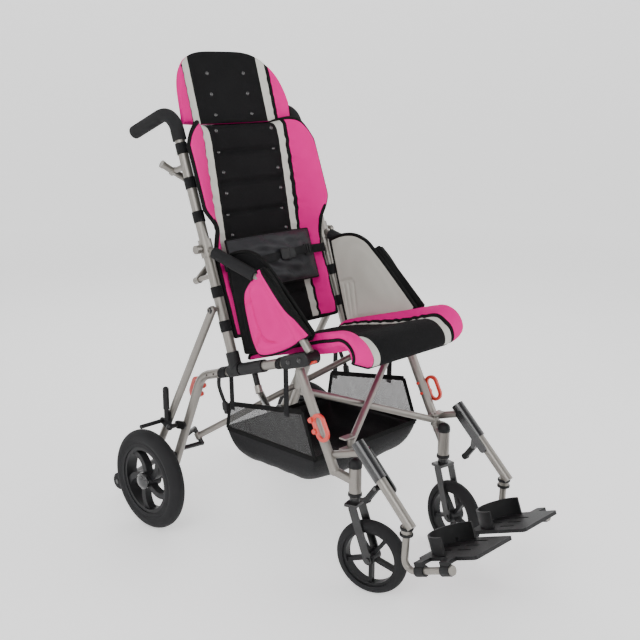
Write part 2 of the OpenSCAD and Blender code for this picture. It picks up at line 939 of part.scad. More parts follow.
module foot_tube() {
  collar = on_hanger(collar_at);
  toe_end = toe_low + plate_way * toe_l;
  down = unit2(toe_low - collar);
  color("silver")
    union() {
      rod(at(hanger_x, on_hanger(slide_run + slide_lap)), at(hanger_x, on_hanger(collar_at + foot_lap)),
        foot_tube_d);
      bent_rod(hanger_x, [collar, toe_low, toe_end], toe_tube_d, toe_bend);
      rod(at(hanger_x, collar + down * collar_from), at(hanger_x, collar + down * collar_to),
        toe_tube_d + 2 * collar_wall);
      rod(at(hanger_x, toe_end - plate_way), at(hanger_x, toe_end + plate_way * toe_cap_l),
        toe_tube_d + 2 * toe_cap_wall);
    }
}

// Footplate: slotted plate with a heel cup, hinged on the toe tube by two knuckles
plate_t2 = 9;
plate_gap = 26;
plate_heel = 30;
plate_corner = 8;
knuckle_l = 26;
knuckle_d = toe_tube_d + 10;
knuckle_at = 14;
knuckle_end = 2;
knuckle_web = 12;
strap_reach = 30;
slot_first = [30, 56];
slot_step = [34, 60];
slot_l = 36;
slot_r = 3.5;
slot_under = 20;
slot_h = 30;
cup_h = 46;
cup_t = 5;
cup_side = 10;
cup_back = 2;
cup_lap = 2;
cup_front = 10;
tread_high = toe_tube_d / 2 + 14;

// Plate frame: x across, y along the plate towards the toes, z out of the tread
module on_plate() {
  translate(at(0, toe_low))
    rotate([-plate_pitch, 0, 0])
      mirror([0, 1, 0])
        children();
}

module footplate() {
  first = plate_heel + knuckle_at;
  second = toe_l - knuckle_l - knuckle_end;
  top = tread_high;
  outer = plate_gap + plate_w;
  corner = plate_corner;
  color("dimgray")
    on_plate()
      difference() {
        union() {
          translate([plate_gap + corner, plate_heel, top - plate_t2])
            cube([plate_w - 2 * corner, plate_l, plate_t2]);
          translate([plate_gap, plate_heel + corner, top - plate_t2])
            cube([plate_w, plate_l - 2 * corner, plate_t2]);
          for (x = [plate_gap + corner, outer - corner],
               y = [plate_heel + corner, plate_heel + plate_l - corner])
            translate([x, y, top - plate_t2])
              cylinder(h = plate_t2, r = corner);
          heel_cup(top);
          for (y = [first, second]) {
            translate([outer - strap_reach, y, top - plate_t2])
              cube([hanger_x - outer + strap_reach, knuckle_l, plate_t2]);
            translate([hanger_x - knuckle_web / 2, y, 0])
              cube([knuckle_web, knuckle_l, top]);
            translate([hanger_x, y, 0])
              rotate([-90, 0, 0])
                cylinder(h = knuckle_l, d = knuckle_d);
          }
        }
        translate([hanger_x, -cut_over, 0])
          rotate([-90, 0, 0])
            cylinder(h = toe_l + plate_l + 2 * cut_over, d = toe_tube_d + 2 * run_gap);
        for (row = [0, 1], i = [0 : 2])
          translate([plate_gap + slot_first[0] + slot_step[0] * i, slot_first[1] + slot_step[1] * row,
            top - slot_under])
            tread_slot();
      }
}

module tread_slot() {
  linear_extrude(slot_h)
    bar2d([0, 0], [0, slot_l], slot_r);
}

// Heel cup: a half ring that stands on the rear of the plate
module heel_cup(top) {
  r = plate_w / 2 - cup_side;
  translate([plate_gap + plate_w / 2, plate_heel + r + cup_back, top - cup_lap])
    difference() {
      cylinder(h = cup_h, r = r);
      translate([0, 0, -root_lap])
        cylinder(h = cup_h + 2 * root_lap, r = r - cup_t);
      translate([-r - root_lap, cup_front, -root_lap])
        cube([2 * (r + root_lap), r, cup_h + 2 * root_lap]);
    }
}

// Cross tubes. Each is hinged on its own side and reaches to the other side
eye_d = 20;
eye_thin = 1;
cross_cap_from = 34;
cross_cap_to = 42;
cross_cap_lap = 2;

module front_cross(step) {
  root = front_hinge + [0, 0, step];
  tip = mirrored(front_tip) + [0, 0, step];
  color("silver")
    difference() {
      union() {
        rod(root, tip, cross_d - eye_thin);
        eye(root, [0, 0, 1], eye_d, cross_d);
        eye(tip, [0, 0, 1], eye_d, cross_d);
      }
      eye(root, [0, 0, 1], pin_d + 2 * run_gap, cross_d + cut_over);
    }
}

module rear_cross(step) {
  v = mirrored(rear_axis);
  root = rear_pin(step);
  tip = root + mirrored(rear_open);
  color("dimgray")
    difference() {
      union() {
        rod(root, tip, cross_d - eye_thin);
        eye(root, v, eye_d, cross_d);
        eye(tip, v, eye_d, cross_d);
      }
      eye(root, v, pin_d + 2 * run_gap, cross_d + cut_over);
    }
}

module back_cross(layer) {
  root = at(side_x, back_root) + back_way * back_off(layer);
  low = back_root - post_dir * back_reach;
  tip = at(back_rest_in - side_x, low) + back_way * back_off(layer);
  out = unit3(root - tip);
  color("silver")
    difference() {
      union() {
        rod(root + out * (cross_cap_to - cross_cap_lap), tip, cross_d - eye_thin);
        rod(root + out * cross_cap_from, root + out * cross_cap_to, cross_d + cross_cap_lap);
        eye(root, back_way, eye_d, cross_d);
        eye(tip, back_way, eye_d, cross_d);
      }
      eye(root, back_way, pin_d + 2 * run_gap, cross_d + 2 * cut_over);
    }
}

// Sleeve that runs on the seat rail above the tip of the other side's rear cross tube
sleeve_post_d = 16;
sleeve_post_lap = 4;

module rail_sleeve(step) {
  along = [0, rail_dir[0], rail_dir[1]];
  mid = at(side_x, on_rail(sleeve_at));
  tip = rear_tip + rear_axis * step;
  color("black")
    difference() {
      union() {
        rod(mid - along * sleeve_l / 2, mid + along * sleeve_l / 2, tube_d + 2 * sleeve_wall);
        rod(tip + rear_axis * (cross_d / 2 + pass_gap),
          tip + rear_axis * (rear_drop - step + sleeve_post_lap), sleeve_post_d);
      }
      rod(mid - along * sleeve_l, mid + along * sleeve_l, tube_d + 2 * run_gap);
    }
}

// Anti-tip arm behind the rear wheel, with its roller
tip_half = 9;
tip_x = outer_x + plate_t + tip_half;
tip_tube_d = 17;
tip_boss_d = 20;
tip_wheel_w = 14;
tip_tread_w = 8;
tip_tread_h = 3;
tip_cap_d = 14;
tip_pin_l = 26;
tip_cap_to = 27;
tip_end = [236, 52];
tip_r = 26;

module anti_tip() {
  color("black")
    union() {
      rod(at(tip_x, tip_arm), at(tip_x, tip_end), tip_tube_d);
      for (p = [tip_arm, tip_end])
        rod(at(tip_x - tip_half + fit_gap, p), at(tip_x + tip_half, p), tip_boss_d);
      rod(at(tip_x, tip_end), at(tip_x + tip_pin_l, tip_end), pin_d);
      rod(at(tip_x + tip_half + tip_wheel_w + 2 * pass_gap, tip_end), at(tip_x + tip_cap_to, tip_end),
        tip_cap_d);
    }
}

module anti_tip_wheel() {
  color("dimgray")
    translate(at(tip_x + tip_half + pass_gap, tip_end))
      rotate([0, 90, 0])
        difference() {
          union() {
            cylinder(h = tip_wheel_w, r = tip_r - tip_tread_h);
            translate([0, 0, (tip_wheel_w - tip_tread_w) / 2])
              cylinder(h = tip_tread_w, r = tip_r);
          }
          translate([0, 0, -cut_over])
            cylinder(h = tip_wheel_w + 2 * cut_over, d = pin_d + 2 * run_gap);
        }
}

// Padded piece as one closed mesh: f(u, v) gives [outer point, inner point]
module padded(f, across, along) {
  outer = [for (j = [0 : along], i = [0 : across]) f(i / across, j / along)[0]];
  inner = [for (j = [0 : along], i = [0 : across]) f(i / across, j / along)[1]];
  row = across + 1;
  n = row * (along + 1);
  cells = [for (j = [0 : along - 1], i = [0 : across - 1]) j * row + i];
  ends = [for (i = [0 : across - 1]) [i, along * row + i]];
  sides = [for (j = [0 : along - 1]) [j * row, j * row + across]];
  faces = [
    for (c = cells) each [[c, c + row, c + row + 1], [c, c + row + 1, c + 1]],
    for (c = cells) each [[n + c, n + c + row + 1, n + c + row], [n + c, n + c + 1, n + c + row + 1]],
    for (e = ends) each [[e[0], e[0] + 1, n + e[0] + 1], [e[0], n + e[0] + 1, n + e[0]]],
    for (e = ends) each [[e[1], n + e[1] + 1, e[1] + 1], [e[1], n + e[1], n + e[1] + 1]],
    for (s = sides) each [[s[0], n + s[0], n + s[0] + row], [s[0], n + s[0] + row, s[0] + row]],
    for (s = sides) each [[s[1], n + s[1] + row, n + s[1]], [s[1], s[1] + row, n + s[1] + row]]
  ];
  polyhedron(points = concat(outer, inner), faces = faces, convexity = 6);
}

// Share of the full thickness at a place across and along a cushion
function swell(u, v) = (1 - pow(abs(2 * u - 1), 4)) * (1 - pow(abs(2 * v - 1), 8));

// Seat: runs along the rails and rolls down over its front edge
seat_half = side_x - tube_d / 2 - 2 * pass_gap;
seat_start = 178;
seat_lift = block_r + pass_gap;
roll_r = 34;
roll_turn = 112;
seat_edge_t = 9;
seat_wing = 20;
seat_all = seat_l + roll_r * roll_turn * PI / 180;

// Point and upward direction of the seat's underside at a run s
function seat_line(s) =
  s <= seat_l
    ? [on_rail(seat_start + s) + rail_up * seat_lift, rail_up]
    : let (t = (s - seat_l) / roll_r * 180 / PI,
           mid = on_rail(seat_start + seat_l) + rail_up * (seat_lift - roll_r),
           up = rail_up * cos(t) + rail_dir * sin(t))
      [mid + up * roll_r, up];

function seat_point(u, v) =
  let (line = seat_line(v * seat_all),
       a = abs(2 * u - 1),
       thick = seat_edge_t + (seat_t - seat_edge_t) * swell(u, v),
       rise = seat_wing * pow(a, 6) * (1 - pow(v, 6)),
       x = (2 * u - 1) * seat_half,
       low = line[0],
       high = line[0] + line[1] * (rise + thick))
  [at(x, high), at(x, low)];

module seat_cushion() {
  color("black")
    padded(function (u, v) seat_point(1 - u, v), 16, 26);
}

// Back: hangs between the posts, its wings come forward, channels cross its middle
back_low = 592;
back_top = head_top - head_h - 2 * pass_gap;
back_half = side_x - clamp_d / 2 - pass_gap;
back_set = 40;
back_edge_t = 10;
back_wing = 36;
channel_depth = 6;
channel_half = 105;

function back_shape(u, v) =
  let (z = back_low + (back_top - back_low) * v,
       a = abs(2 * u - 1),
       x = (2 * u - 1) * back_half * (1 - 0.12 * pow(v, 12)),
       groove = channel_depth * pow(cos(180 * (channels + 1) * v), 8) * (abs(x) < channel_half ? 1 : 0),
       thick = back_edge_t + (back_t - back_edge_t) * swell(u, v) - groove * swell(u, v),
       rear = on_post(z) + post_back * (back_set - back_wing * pow(a, 4)))
  [x, rear, rear - post_back * thick];

module back_cushion() {
  color("black")
    padded(function (u, v) let (s = back_shape(u, v)) [at(s[0], s[2]), at(s[0], s[1])], 16, 34);
}

// Head: a narrower pad that stands on the back cushion
head_low = back_top + 2 * pass_gap;
head_half = 176;
head_t = 34;
head_edge_t = 9;
head_lean = 10;
head_wing = 44;

function head_shape(u, v) =
  let (z = head_low + (head_top - head_low) * v,
       a = abs(2 * u - 1),
       x = (2 * u - 1) * head_half * sqrt(1 - 0.62 * pow(v, 5)),
       thick = head_edge_t + (head_t - head_edge_t) * swell(u, v),
       front = on_post(z) + post_back * (back_set - back_edge_t - head_lean * v - head_wing * pow(a, 4) * v))
  [x, front + post_back * thick, front];

module head_cushion() {
  color("black")
    padded(function (u, v) let (s = head_shape(u, v)) [at(s[0], s[2]), at(s[0], s[1])], 14, 16);
}

// Front of the back cushion, channels left out
function back_front(x, z) =
  let (u = 0.5 + x / back_half / 2,
       v = (z - back_low) / (back_top - back_low),
       thick = back_edge_t + (back_t - back_edge_t) * swell(u, v))
  on_post(z) + post_back * (back_set - back_wing * pow(2 * u - 1, 4) - thick);

// Lap pad: a soft belt pad that lies across the lower back
pad_low = 706;
pad_h = 128;
pad_half = 150;
pad_t = 26;
pad_edge_t = 5;
pad_bow = 20;
pad_gap = 3 * pass_gap;

function pad_shape(u, v) =
  let (z = pad_low + pad_h * v,
       a = abs(2 * u - 1),
       x = (2 * u - 1) * pad_half,
       rear = back_front(x, z) - post_back * (pad_gap + pad_bow * (1 - a * a)),
       thick = pad_edge_t + (pad_t - pad_edge_t) * swell(u, v))
  [x, rear, rear - post_back * thick];

module lap_pad() {
  color("dimgray")
    padded(function (u, v) let (s = pad_shape(u, v)) [at(s[0], s[2]), at(s[0], s[1])], 14, 8);
}

// Basket: a fabric tub with mesh sides that rise towards the rails
basket_half = side_x - tube_d / 2 - 5;
basket_wall = 3;
basket_floor = 226;
basket_rim = 322;
basket_rear = -205;
basket_front = -548;
mesh_rear = [-218, 396];
mesh_front = [-500, 440];
strap_w = 16;
strap_lap = 8;
strap_at = [-230, -444];
strap_over = 3;
tub_slope = [28, 40];
side_cut = [100, 400];

// Height of the mesh side's top edge
function mesh_top(y) =
  mesh_rear[1] + (mesh_front[1] - mesh_rear[1]) * (y - mesh_rear[0]) / (mesh_front[0] - mesh_rear[0]);

// Straps that hang the basket from the rails
module basket_straps() {
  inner = basket_half - basket_wall;
  wide = side_x - tube_d / 2 - pass_gap - inner;
  for (side = [-1, 1], y = strap_at) {
    low = mesh_top(y) - strap_lap;
    rail_z = on_rail((y - rail_corner[0]) / rail_dir[0])[1];
    translate([side > 0 ? inner : -inner - wide, y - strap_w / 2, low])
      cube([wide, strap_w, rail_z + strap_over - low]);
  }
}

module basket() {
  tub = [
    [basket_rear, basket_rim], [basket_rear - tub_slope[0], basket_floor],
    [basket_front + tub_slope[1], basket_floor], [basket_front, basket_rim]
  ];
  side = concat(tub, [mesh_front, mesh_rear]);
  color("black") {
    difference() {
      upright(-basket_half, 2 * basket_half)
        polygon(side);
      upright(-basket_half + basket_wall, 2 * (basket_half - basket_wall))
        polygon([
          tub[0] + [-basket_wall, 0], tub[1] + [-basket_wall, basket_wall],
          tub[2] + [basket_wall, basket_wall], tub[3] + [basket_wall, 0],
          tub[3] - [side_cut[0], 0], tub[3] + [-side_cut[0], side_cut[1]],
          tub[0] + side_cut, tub[0] + [side_cut[0], 0]
        ]);
    }
    basket_straps();
  }
}

// The object's middle lies half way between the toes and the anti-tip rollers
front_end = toe_low[0] + plate_way[0] * (plate_heel + plate_l)
  + plate_up[0] * (tread_high - plate_t2);
rear_end = tip_end[0] + tip_r;
axle_y = -(front_end + rear_end) / 2;

module left() {
  translate([0, axle_y, 0])
    children();
}

module right() {
  translate([0, axle_y, 0])
    mirror([1, 0, 0])
      children();
}

left() side_tube();  // left_side_tube
right() side_tube();  // right_side_tube
left() rear_bracket(-cross_step);  // left_rear_bracket
right() rear_bracket(cross_step);  // right_rear_bracket
left() front_leg(-front_step);  // left_front_leg
right() front_leg(front_step);  // right_front_leg
left() back_post(1, 0);  // left_back_post
right() back_post(0, 1);  // right_back_post
left() rear_strut();  // left_rear_strut
right() rear_strut();  // right_rear_strut
left() foam_sleeves();  // left_foam_sleeves
right() foam_sleeves();  // right_foam_sleeves
left() arm_tube();  // left_arm_tube
right() arm_tube();  // right_arm_tube
left() side_panel();  // left_side_panel
right() side_panel();  // right_side_panel
left() tie_downs();  // left_tie_downs
right() tie_downs();  // right_tie_downs
left() fittings();  // left_fittings
right() fittings();  // right_fittings
left() post_bands();  // left_post_bands
right() post_bands();  // right_post_bands
left() rear_tyre();  // left_rear_tyre
right() rear_tyre();  // right_rear_tyre
left() rear_rim();  // left_rear_rim
right() rear_rim();  // right_rear_rim
left() caster_fork(left_caster_turn);  // left_caster_fork
right() caster_fork(-right_caster_turn);  // right_caster_fork
left() caster_tyre(left_caster_turn);  // left_caster_tyre
right() caster_tyre(-right_caster_turn);  // right_caster_tyre
left() caster_rim(left_caster_turn);  // left_caster_rim
right() caster_rim(-right_caster_turn);  // right_caster_rim
left() wheel_lock();  // left_wheel_lock
right() wheel_lock();  // right_wheel_lock
left() hanger();  // left_hanger
right() hanger();  // right_hanger
left() foot_tube();  // left_foot_tube
right() foot_tube();  // right_foot_tube
left() footplate();  // left_footplate
right() footplate();  // right_footplate
left() latch_lever();  // left_latch_lever
right() latch_lever();  // right_latch_lever
left() front_cross(-front_step);  // left_front_cross
right() front_cross(front_step);  // right_front_cross
left() back_cross(1);  // left_back_cross
right() back_cross(0);  // right_back_cross
left() rear_cross(-cross_step);  // left_rear_cross
right() rear_cross(cross_step);  // right_rear_cross
left() rail_sleeve(cross_step);  // left_rail_sleeve
right() rail_sleeve(-cross_step);  // right_rail_sleeve
left() anti_tip();  // left_anti_tip
right() anti_tip();  // right_anti_tip
left() anti_tip_wheel();  // left_anti_tip_wheel
right() anti_tip_wheel();  // right_anti_tip_wheel
left() seat_cushion();
left() back_cushion();
left() head_cushion();
left() lap_pad();
left() basket();
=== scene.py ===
"""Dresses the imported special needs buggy: padded cushions, side panels, basket, belts, trim and finishes."""
import logging
import math
from dataclasses import dataclass
from enum import Enum

import bmesh
import bpy
import numpy as np
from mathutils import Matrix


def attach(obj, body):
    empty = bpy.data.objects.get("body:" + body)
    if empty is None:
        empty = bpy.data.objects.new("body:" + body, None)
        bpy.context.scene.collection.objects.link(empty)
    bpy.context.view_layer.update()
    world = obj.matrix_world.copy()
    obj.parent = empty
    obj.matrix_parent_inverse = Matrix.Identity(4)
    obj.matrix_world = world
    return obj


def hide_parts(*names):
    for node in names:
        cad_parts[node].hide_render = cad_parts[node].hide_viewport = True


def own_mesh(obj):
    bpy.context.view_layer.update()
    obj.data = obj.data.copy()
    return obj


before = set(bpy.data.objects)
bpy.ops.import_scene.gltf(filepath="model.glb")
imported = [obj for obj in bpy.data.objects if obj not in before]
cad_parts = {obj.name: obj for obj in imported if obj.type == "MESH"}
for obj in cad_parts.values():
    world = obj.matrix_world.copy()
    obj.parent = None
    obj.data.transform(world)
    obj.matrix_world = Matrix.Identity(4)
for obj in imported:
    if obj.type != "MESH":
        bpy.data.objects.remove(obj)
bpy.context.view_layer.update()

LOG = logging.getLogger("buggy")
AXLE_Y = 386.584
MM = 0.001
RAIL_X = 225.0
RAIL_COS = 0.951
RAIL_SIN = 0.308
RAIL_LEVEL = (0, 1, -0.32)
COAT_ROUGH = 0.12
BUMP_DEPTH = 0.0006
NET_SCALE = 95.0
STRIPE_STEPS = 6
Array = np.ndarray


class Side(Enum):
    """One side of the buggy, with the sign of its X."""

    LEFT = 1
    RIGHT = -1

    @property
    def frame(self) -> str:
        """Name of the side frame's body."""
        return self.body("frame")

    def body(self, part: str) -> str:
        """Name of a body on this side."""
        return f"{self.name.lower()}_{part}"


class Surface(Enum):
    """Kinds of surface detail, each made by one shader node group."""

    WEAVE = "woven threads"
    GRAIN = "moulded grain"
    PAINT = "sprayed paint with light scuffs"
    FOAM = "closed cell foam"


# Shader node groups


class NodeBench:
    """Adds and links nodes in one node tree."""

    def __init__(self, tree: bpy.types.NodeTree) -> None:
        """Keeps the tree that nodes go into."""
        self.tree = tree

    def add(self, kind: str, **settings: object) -> bpy.types.Node:
        """Adds a node and sets its properties and input values.

        Args:
            kind: The node's type name.
            settings: Properties of the node, or input values by socket name with spaces as underscores.

        Returns:
            The new node.
        """
        node = self.tree.nodes.new(kind)
        for key, value in settings.items():
            socket = key.replace("_", " ")
            if socket in node.inputs.keys():
                node.inputs[socket].default_value = value
            else:
                setattr(node, key, value)
        return node

    def join(self, source: bpy.types.Node, out: str | int, target: bpy.types.Node, into: str | int) -> None:
        """Links an output of one node to an input of another, each by its name or number."""
        self.tree.links.new(source.outputs[out], target.inputs[into])


def surface_group(surface: Surface) -> bpy.types.NodeTree:
    """Builds, once, the group that gives a surface its colour, roughness mask and height.

    Args:
        surface: The kind of surface detail.

    Returns:
        A group with inputs Vector, Scale, First and Second and outputs Colour, Rough and Height.
    """
    found = bpy.data.node_groups.get(surface.value)
    if found:
        return found
    tree = bpy.data.node_groups.new(surface.value, "ShaderNodeTree")
    sockets = (("Vector", "INPUT", "Vector"), ("Scale", "INPUT", "Float"), ("First", "INPUT", "Color"),
               ("Second", "INPUT", "Color"), ("Colour", "OUTPUT", "Color"), ("Rough", "OUTPUT", "Float"),
               ("Height", "OUTPUT", "Float"))
    for name, way, kind in sockets:
        tree.interface.new_socket(name, in_out=way, socket_type=f"NodeSocket{kind}")
    bench = NodeBench(tree)
    start = bench.add("NodeGroupInput")
    end = bench.add("NodeGroupOutput")
    broad = bench.add("ShaderNodeTexNoise", Scale=9.0, Detail=4.0, Roughness=0.6)
    bench.join(start, "Vector", broad, "Vector")
    fine = bench.add("ShaderNodeTexNoise", Detail=5.0, Roughness=0.65)
    bench.join(start, "Vector", fine, "Vector")
    bench.join(start, "Scale", fine, "Scale")
    blend = bench.add("ShaderNodeMix", data_type="RGBA")
    bench.join(start, "First", blend, "A")
    bench.join(start, "Second", blend, "B")
    if surface is Surface.WEAVE:
        threads = [bench.add("ShaderNodeTexWave", bands_direction=way) for way in ("X", "DIAGONAL")]
        over = bench.add("ShaderNodeMath", operation="MAXIMUM")
        for k, thread in enumerate(threads):
            bench.join(start, "Vector", thread, "Vector")
            bench.join(start, "Scale", thread, "Scale")
            bench.join(thread, "Fac", over, k)
        tone = bench.add("ShaderNodeMath", operation="MULTIPLY_ADD")
        tone.inputs[1].default_value = 0.35
        bench.join(over, 0, tone, 0)
        bench.join(broad, "Fac", tone, 2)
        bench.join(tone, 0, blend, "Factor")
        bench.join(over, 0, end, "Height")
    elif surface is Surface.PAINT:
        scuff = bench.add("ShaderNodeMapRange", From_Min=0.60, From_Max=0.72)
        bench.join(fine, "Fac", scuff, "Value")
        bench.join(scuff, "Result", blend, "Factor")
        bench.join(broad, "Fac", end, "Height")
    else:
        height, out = fine, "Fac"
        if surface is Surface.FOAM:
            pores = bench.add("ShaderNodeTexVoronoi")
            bench.join(start, "Vector", pores, "Vector")
            bench.join(start, "Scale", pores, "Scale")
            height, out = pores, "Distance"
        bench.join(broad, "Fac", blend, "Factor")
        bench.join(height, out, end, "Height")
    bench.join(blend, "Result", end, "Colour")
    bench.join(fine, "Fac", end, "Rough")
    return tree


@dataclass(frozen=True)
class Finish:
    """One material: two colours that its surface mixes, how rough it is and its detail.

    Colours are linear red, green and blue. The scale is that of the surface detail, per metre.
    """

    name: str
    slot: str
    surface: Surface
    first: tuple
    second: tuple
    rough: tuple
    scale: float
    bump: float
    metallic: float = 0.0
    coat: float = 0.0
    holes: float = 0.0
    glint: float = 0.5

    def material(self) -> bpy.types.Material:
        """Builds the material the first time, and returns it.

        Returns:
            The material.
        """
        found = bpy.data.materials.get(self.name)
        if found:
            return found
        made = bpy.data.materials.new(self.name)
        made.use_nodes = True
        bench = NodeBench(made.node_tree)
        shader = made.node_tree.nodes["Principled BSDF"]
        for key, value in (("Metallic", self.metallic), ("Specular IOR Level", self.glint),
                           ("Coat Weight", self.coat), ("Coat Roughness", COAT_ROUGH)):
            shader.inputs[key].default_value = value
        where = bench.add("ShaderNodeTexCoord")
        detail = bench.add("ShaderNodeGroup", node_tree=surface_group(self.surface))
        for key, value in (("Scale", self.scale), ("First", (*self.first, 1.0)),
                           ("Second", (*self.second, 1.0))):
            detail.inputs[key].default_value = value
        bench.join(where, "Object", detail, "Vector")
        bench.join(detail, "Colour", shader, "Base Color")
        smooth, dull = self.rough
        gloss = bench.add("ShaderNodeMapRange", From_Min=0.3, From_Max=0.7, To_Min=smooth, To_Max=dull)
        bench.join(detail, "Rough", gloss, "Value")
        bench.join(gloss, "Result", shader, "Roughness")
        bump = bench.add("ShaderNodeBump", Strength=self.bump, Distance=BUMP_DEPTH)
        bench.join(detail, "Height", bump, "Height")
        bench.join(bump, "Normal", shader, "Normal")
        if self.holes:
            self.add_holes(bench, where, shader)
        return made

    def add_holes(self, bench: NodeBench, where: bpy.types.Node, shader: bpy.types.Node) -> None:
        """Opens a fine net: alpha is low in the cells between two crossing sets of threads.

        Args:
            bench: The material's bench.
            where: Its texture coordinate node.
            shader: Its Principled shader.
        """
        sets = [bench.add("ShaderNodeTexWave", bands_direction=way, Scale=NET_SCALE) for way in ("Y", "Z")]
        cover = bench.add("ShaderNodeMath", operation="MAXIMUM")
        for k, threads in enumerate(sets):
            bench.join(where, "Object", threads, "Vector")
            bench.join(threads, "Fac", cover, k)
        alpha = bench.add("ShaderNodeMapRange", From_Min=0.45, From_Max=0.95, To_Min=1 - self.holes,
                          To_Max=1.0)
        bench.join(cover, 0, alpha, "Value")
        bench.join(alpha, "Result", shader, "Alpha")


SILVER = Finish("silver_paint", "frame_silver", Surface.PAINT, (0.23, 0.215, 0.195), (0.31, 0.29, 0.265),
                (0.28, 0.42), 260.0, 0.05, metallic=0.65, coat=0.25)
BLACK_PAINT = Finish("black_paint", "black_metal", Surface.PAINT, (0.006, 0.006, 0.0065), (0.03, 0.03, 0.03),
                     (0.3, 0.45), 220.0, 0.08, coat=0.2)
NYLON = Finish("moulded_nylon", "black_plastic", Surface.GRAIN, (0.006, 0.006, 0.0065), (0.012, 0.012, 0.013),
               (0.42, 0.6), 900.0, 0.25, glint=0.25)
GLOSS = Finish("gloss_sleeve", "gloss_black", Surface.GRAIN, (0.008, 0.008, 0.009), (0.014, 0.014, 0.015),
               (0.12, 0.22), 500.0, 0.04, coat=0.6)
FOAM = Finish("grip_foam", "foam", Surface.FOAM, (0.012, 0.012, 0.013), (0.024, 0.024, 0.025),
              (0.75, 0.92), 700.0, 0.5, glint=0.12)
RUBBER = Finish("tyre_rubber", "tyre", Surface.GRAIN, (0.012, 0.012, 0.013), (0.024, 0.024, 0.025),
                (0.6, 0.78), 420.0, 0.3, glint=0.12)
RIM = Finish("rim_nylon", "rim", Surface.GRAIN, (0.008, 0.008, 0.009), (0.016, 0.016, 0.017),
             (0.35, 0.5), 800.0, 0.2, glint=0.2)
RED = Finish("loop_red_coat", "loop_red", Surface.PAINT, (0.62, 0.04, 0.025), (0.72, 0.09, 0.06),
             (0.25, 0.4), 300.0, 0.1, coat=0.3)
PINK = Finish("pink_cloth", "pink_fabric", Surface.WEAVE, (0.6, 0.0, 0.165), (0.72, 0.0, 0.225),
              (0.62, 0.8), 150.0, 0.35, glint=0.12)
BLACK_KNIT = Finish("black_knit", "black_fabric", Surface.WEAVE, (0.003, 0.003, 0.0035),
                    (0.009, 0.009, 0.0095), (0.8, 0.95), 190.0, 0.5, glint=0.1)
BINDING = Finish("black_binding", "black_fabric", Surface.WEAVE, (0.003, 0.003, 0.003), (0.008, 0.008, 0.008),
                 (0.65, 0.85), 260.0, 0.4, glint=0.1)
STRIPE = Finish("grey_stripe", "black_fabric", Surface.WEAVE, (0.38, 0.38, 0.345), (0.52, 0.52, 0.475),
                (0.4, 0.55), 230.0, 0.2, glint=0.35)
LINING = Finish("grey_lining", "black_fabric", Surface.WEAVE, (0.46, 0.455, 0.405), (0.58, 0.575, 0.52),
                (0.6, 0.8), 170.0, 0.35, glint=0.2)
CHARCOAL = Finish("charcoal_nylon", "charcoal_fabric", Surface.WEAVE, (0.006, 0.006, 0.008),
                  (0.016, 0.016, 0.019), (0.42, 0.6), 240.0, 0.3, glint=0.3)
WEBBING = Finish("webbing", "charcoal_fabric", Surface.WEAVE, (0.003, 0.003, 0.0035), (0.009, 0.009, 0.01),
                 (0.5, 0.7), 320.0, 0.7, glint=0.15)
TUB = Finish("tub_nylon", "mesh_fabric", Surface.WEAVE, (0.003, 0.003, 0.0035), (0.009, 0.009, 0.01),
             (0.5, 0.7), 210.0, 0.3, glint=0.2)
NET = Finish("net", "mesh_fabric", Surface.WEAVE, (0.025, 0.025, 0.025), (0.05, 0.05, 0.05),
             (0.6, 0.8), 210.0, 0.2, holes=0.85)


# Mesh helpers


def row_frame(points: Array) -> Array:
    """Turns millimetres from the ground under the rear axle into metres in the row frame."""
    return (points.reshape(-1, 3) + np.array([0.0, AXLE_Y, 0.0])) * MM


def cells(rows: int, cols: int, wrap_rows: bool = False, wrap_cols: bool = False) -> Array:
    """Corner numbers of a grid's cells: cell (i, j) joins (i, j), (i, j+1), (i+1, j+1) and (i+1, j).

    Args:
        rows: Points down the grid.
        cols: Points across it.
        wrap_rows: The last row joins the first.
        wrap_cols: The last column joins the first.

    Returns:
        One row of four point numbers for each cell.
    """
    i, j = np.meshgrid(np.arange(rows - (not wrap_rows)), np.arange(cols - (not wrap_cols)), indexing="ij")
    here, down, across = i * cols, (i + 1) % rows * cols, (j + 1) % cols
    return np.stack([here + j, here + across, down + across, down + j], -1).reshape(-1, 4)


def rim_of(rows: int, cols: int) -> Array:
    """Point numbers round the border of a grid, in order."""
    grid = np.arange(rows * cols).reshape(rows, cols)
    return np.concatenate([grid[0, :-1], grid[:-1, -1], grid[-1, :0:-1], grid[:0:-1, 0]])


def add_piece(name: str, points: Array, faces: list, finishes: list,
              picks: Array | None = None) -> bpy.types.Object:
    """Puts points and faces into a smooth mesh object with its normals outwards.

    Args:
        name: The piece's name.
        points: Points in millimetres from the ground under the rear axle.
        faces: Lists of point numbers.
        finishes: The piece's finishes.
        picks: For each face, which finish it takes.

    Returns:
        The new object, at the origin.
    """
    mesh = bpy.data.meshes.new(name)
    mesh.from_pydata(row_frame(points).tolist(), [], faces)
    for finish in finishes:
        mesh.materials.append(finish.material())
    if picks is not None:
        mesh.polygons.foreach_set("material_index", np.asarray(picks, np.int32))
    work = bmesh.new()
    work.from_mesh(mesh)
    bmesh.ops.remove_doubles(work, verts=work.verts, dist=2e-6)
    bmesh.ops.recalc_face_normals(work, faces=work.faces)
    work.to_mesh(mesh)
    work.free()
    mesh.polygons.foreach_set("use_smooth", np.ones(len(mesh.polygons), bool))
    made = bpy.data.objects.new(name, mesh)
    bpy.context.scene.collection.objects.link(made)
    LOG.info("%s: %d faces", name, len(mesh.polygons))
    return made


def soft(piece: bpy.types.Object) -> bpy.types.Object:
    """Lets a soft piece ride on the right frame, with its own copy of its mesh."""
    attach(piece, "right_frame")
    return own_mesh(piece)


def unit(v: Array) -> Array:
    """Scales vectors to a length of one."""
    return v / np.maximum(np.linalg.norm(v, axis=-1, keepdims=True), 1e-9)


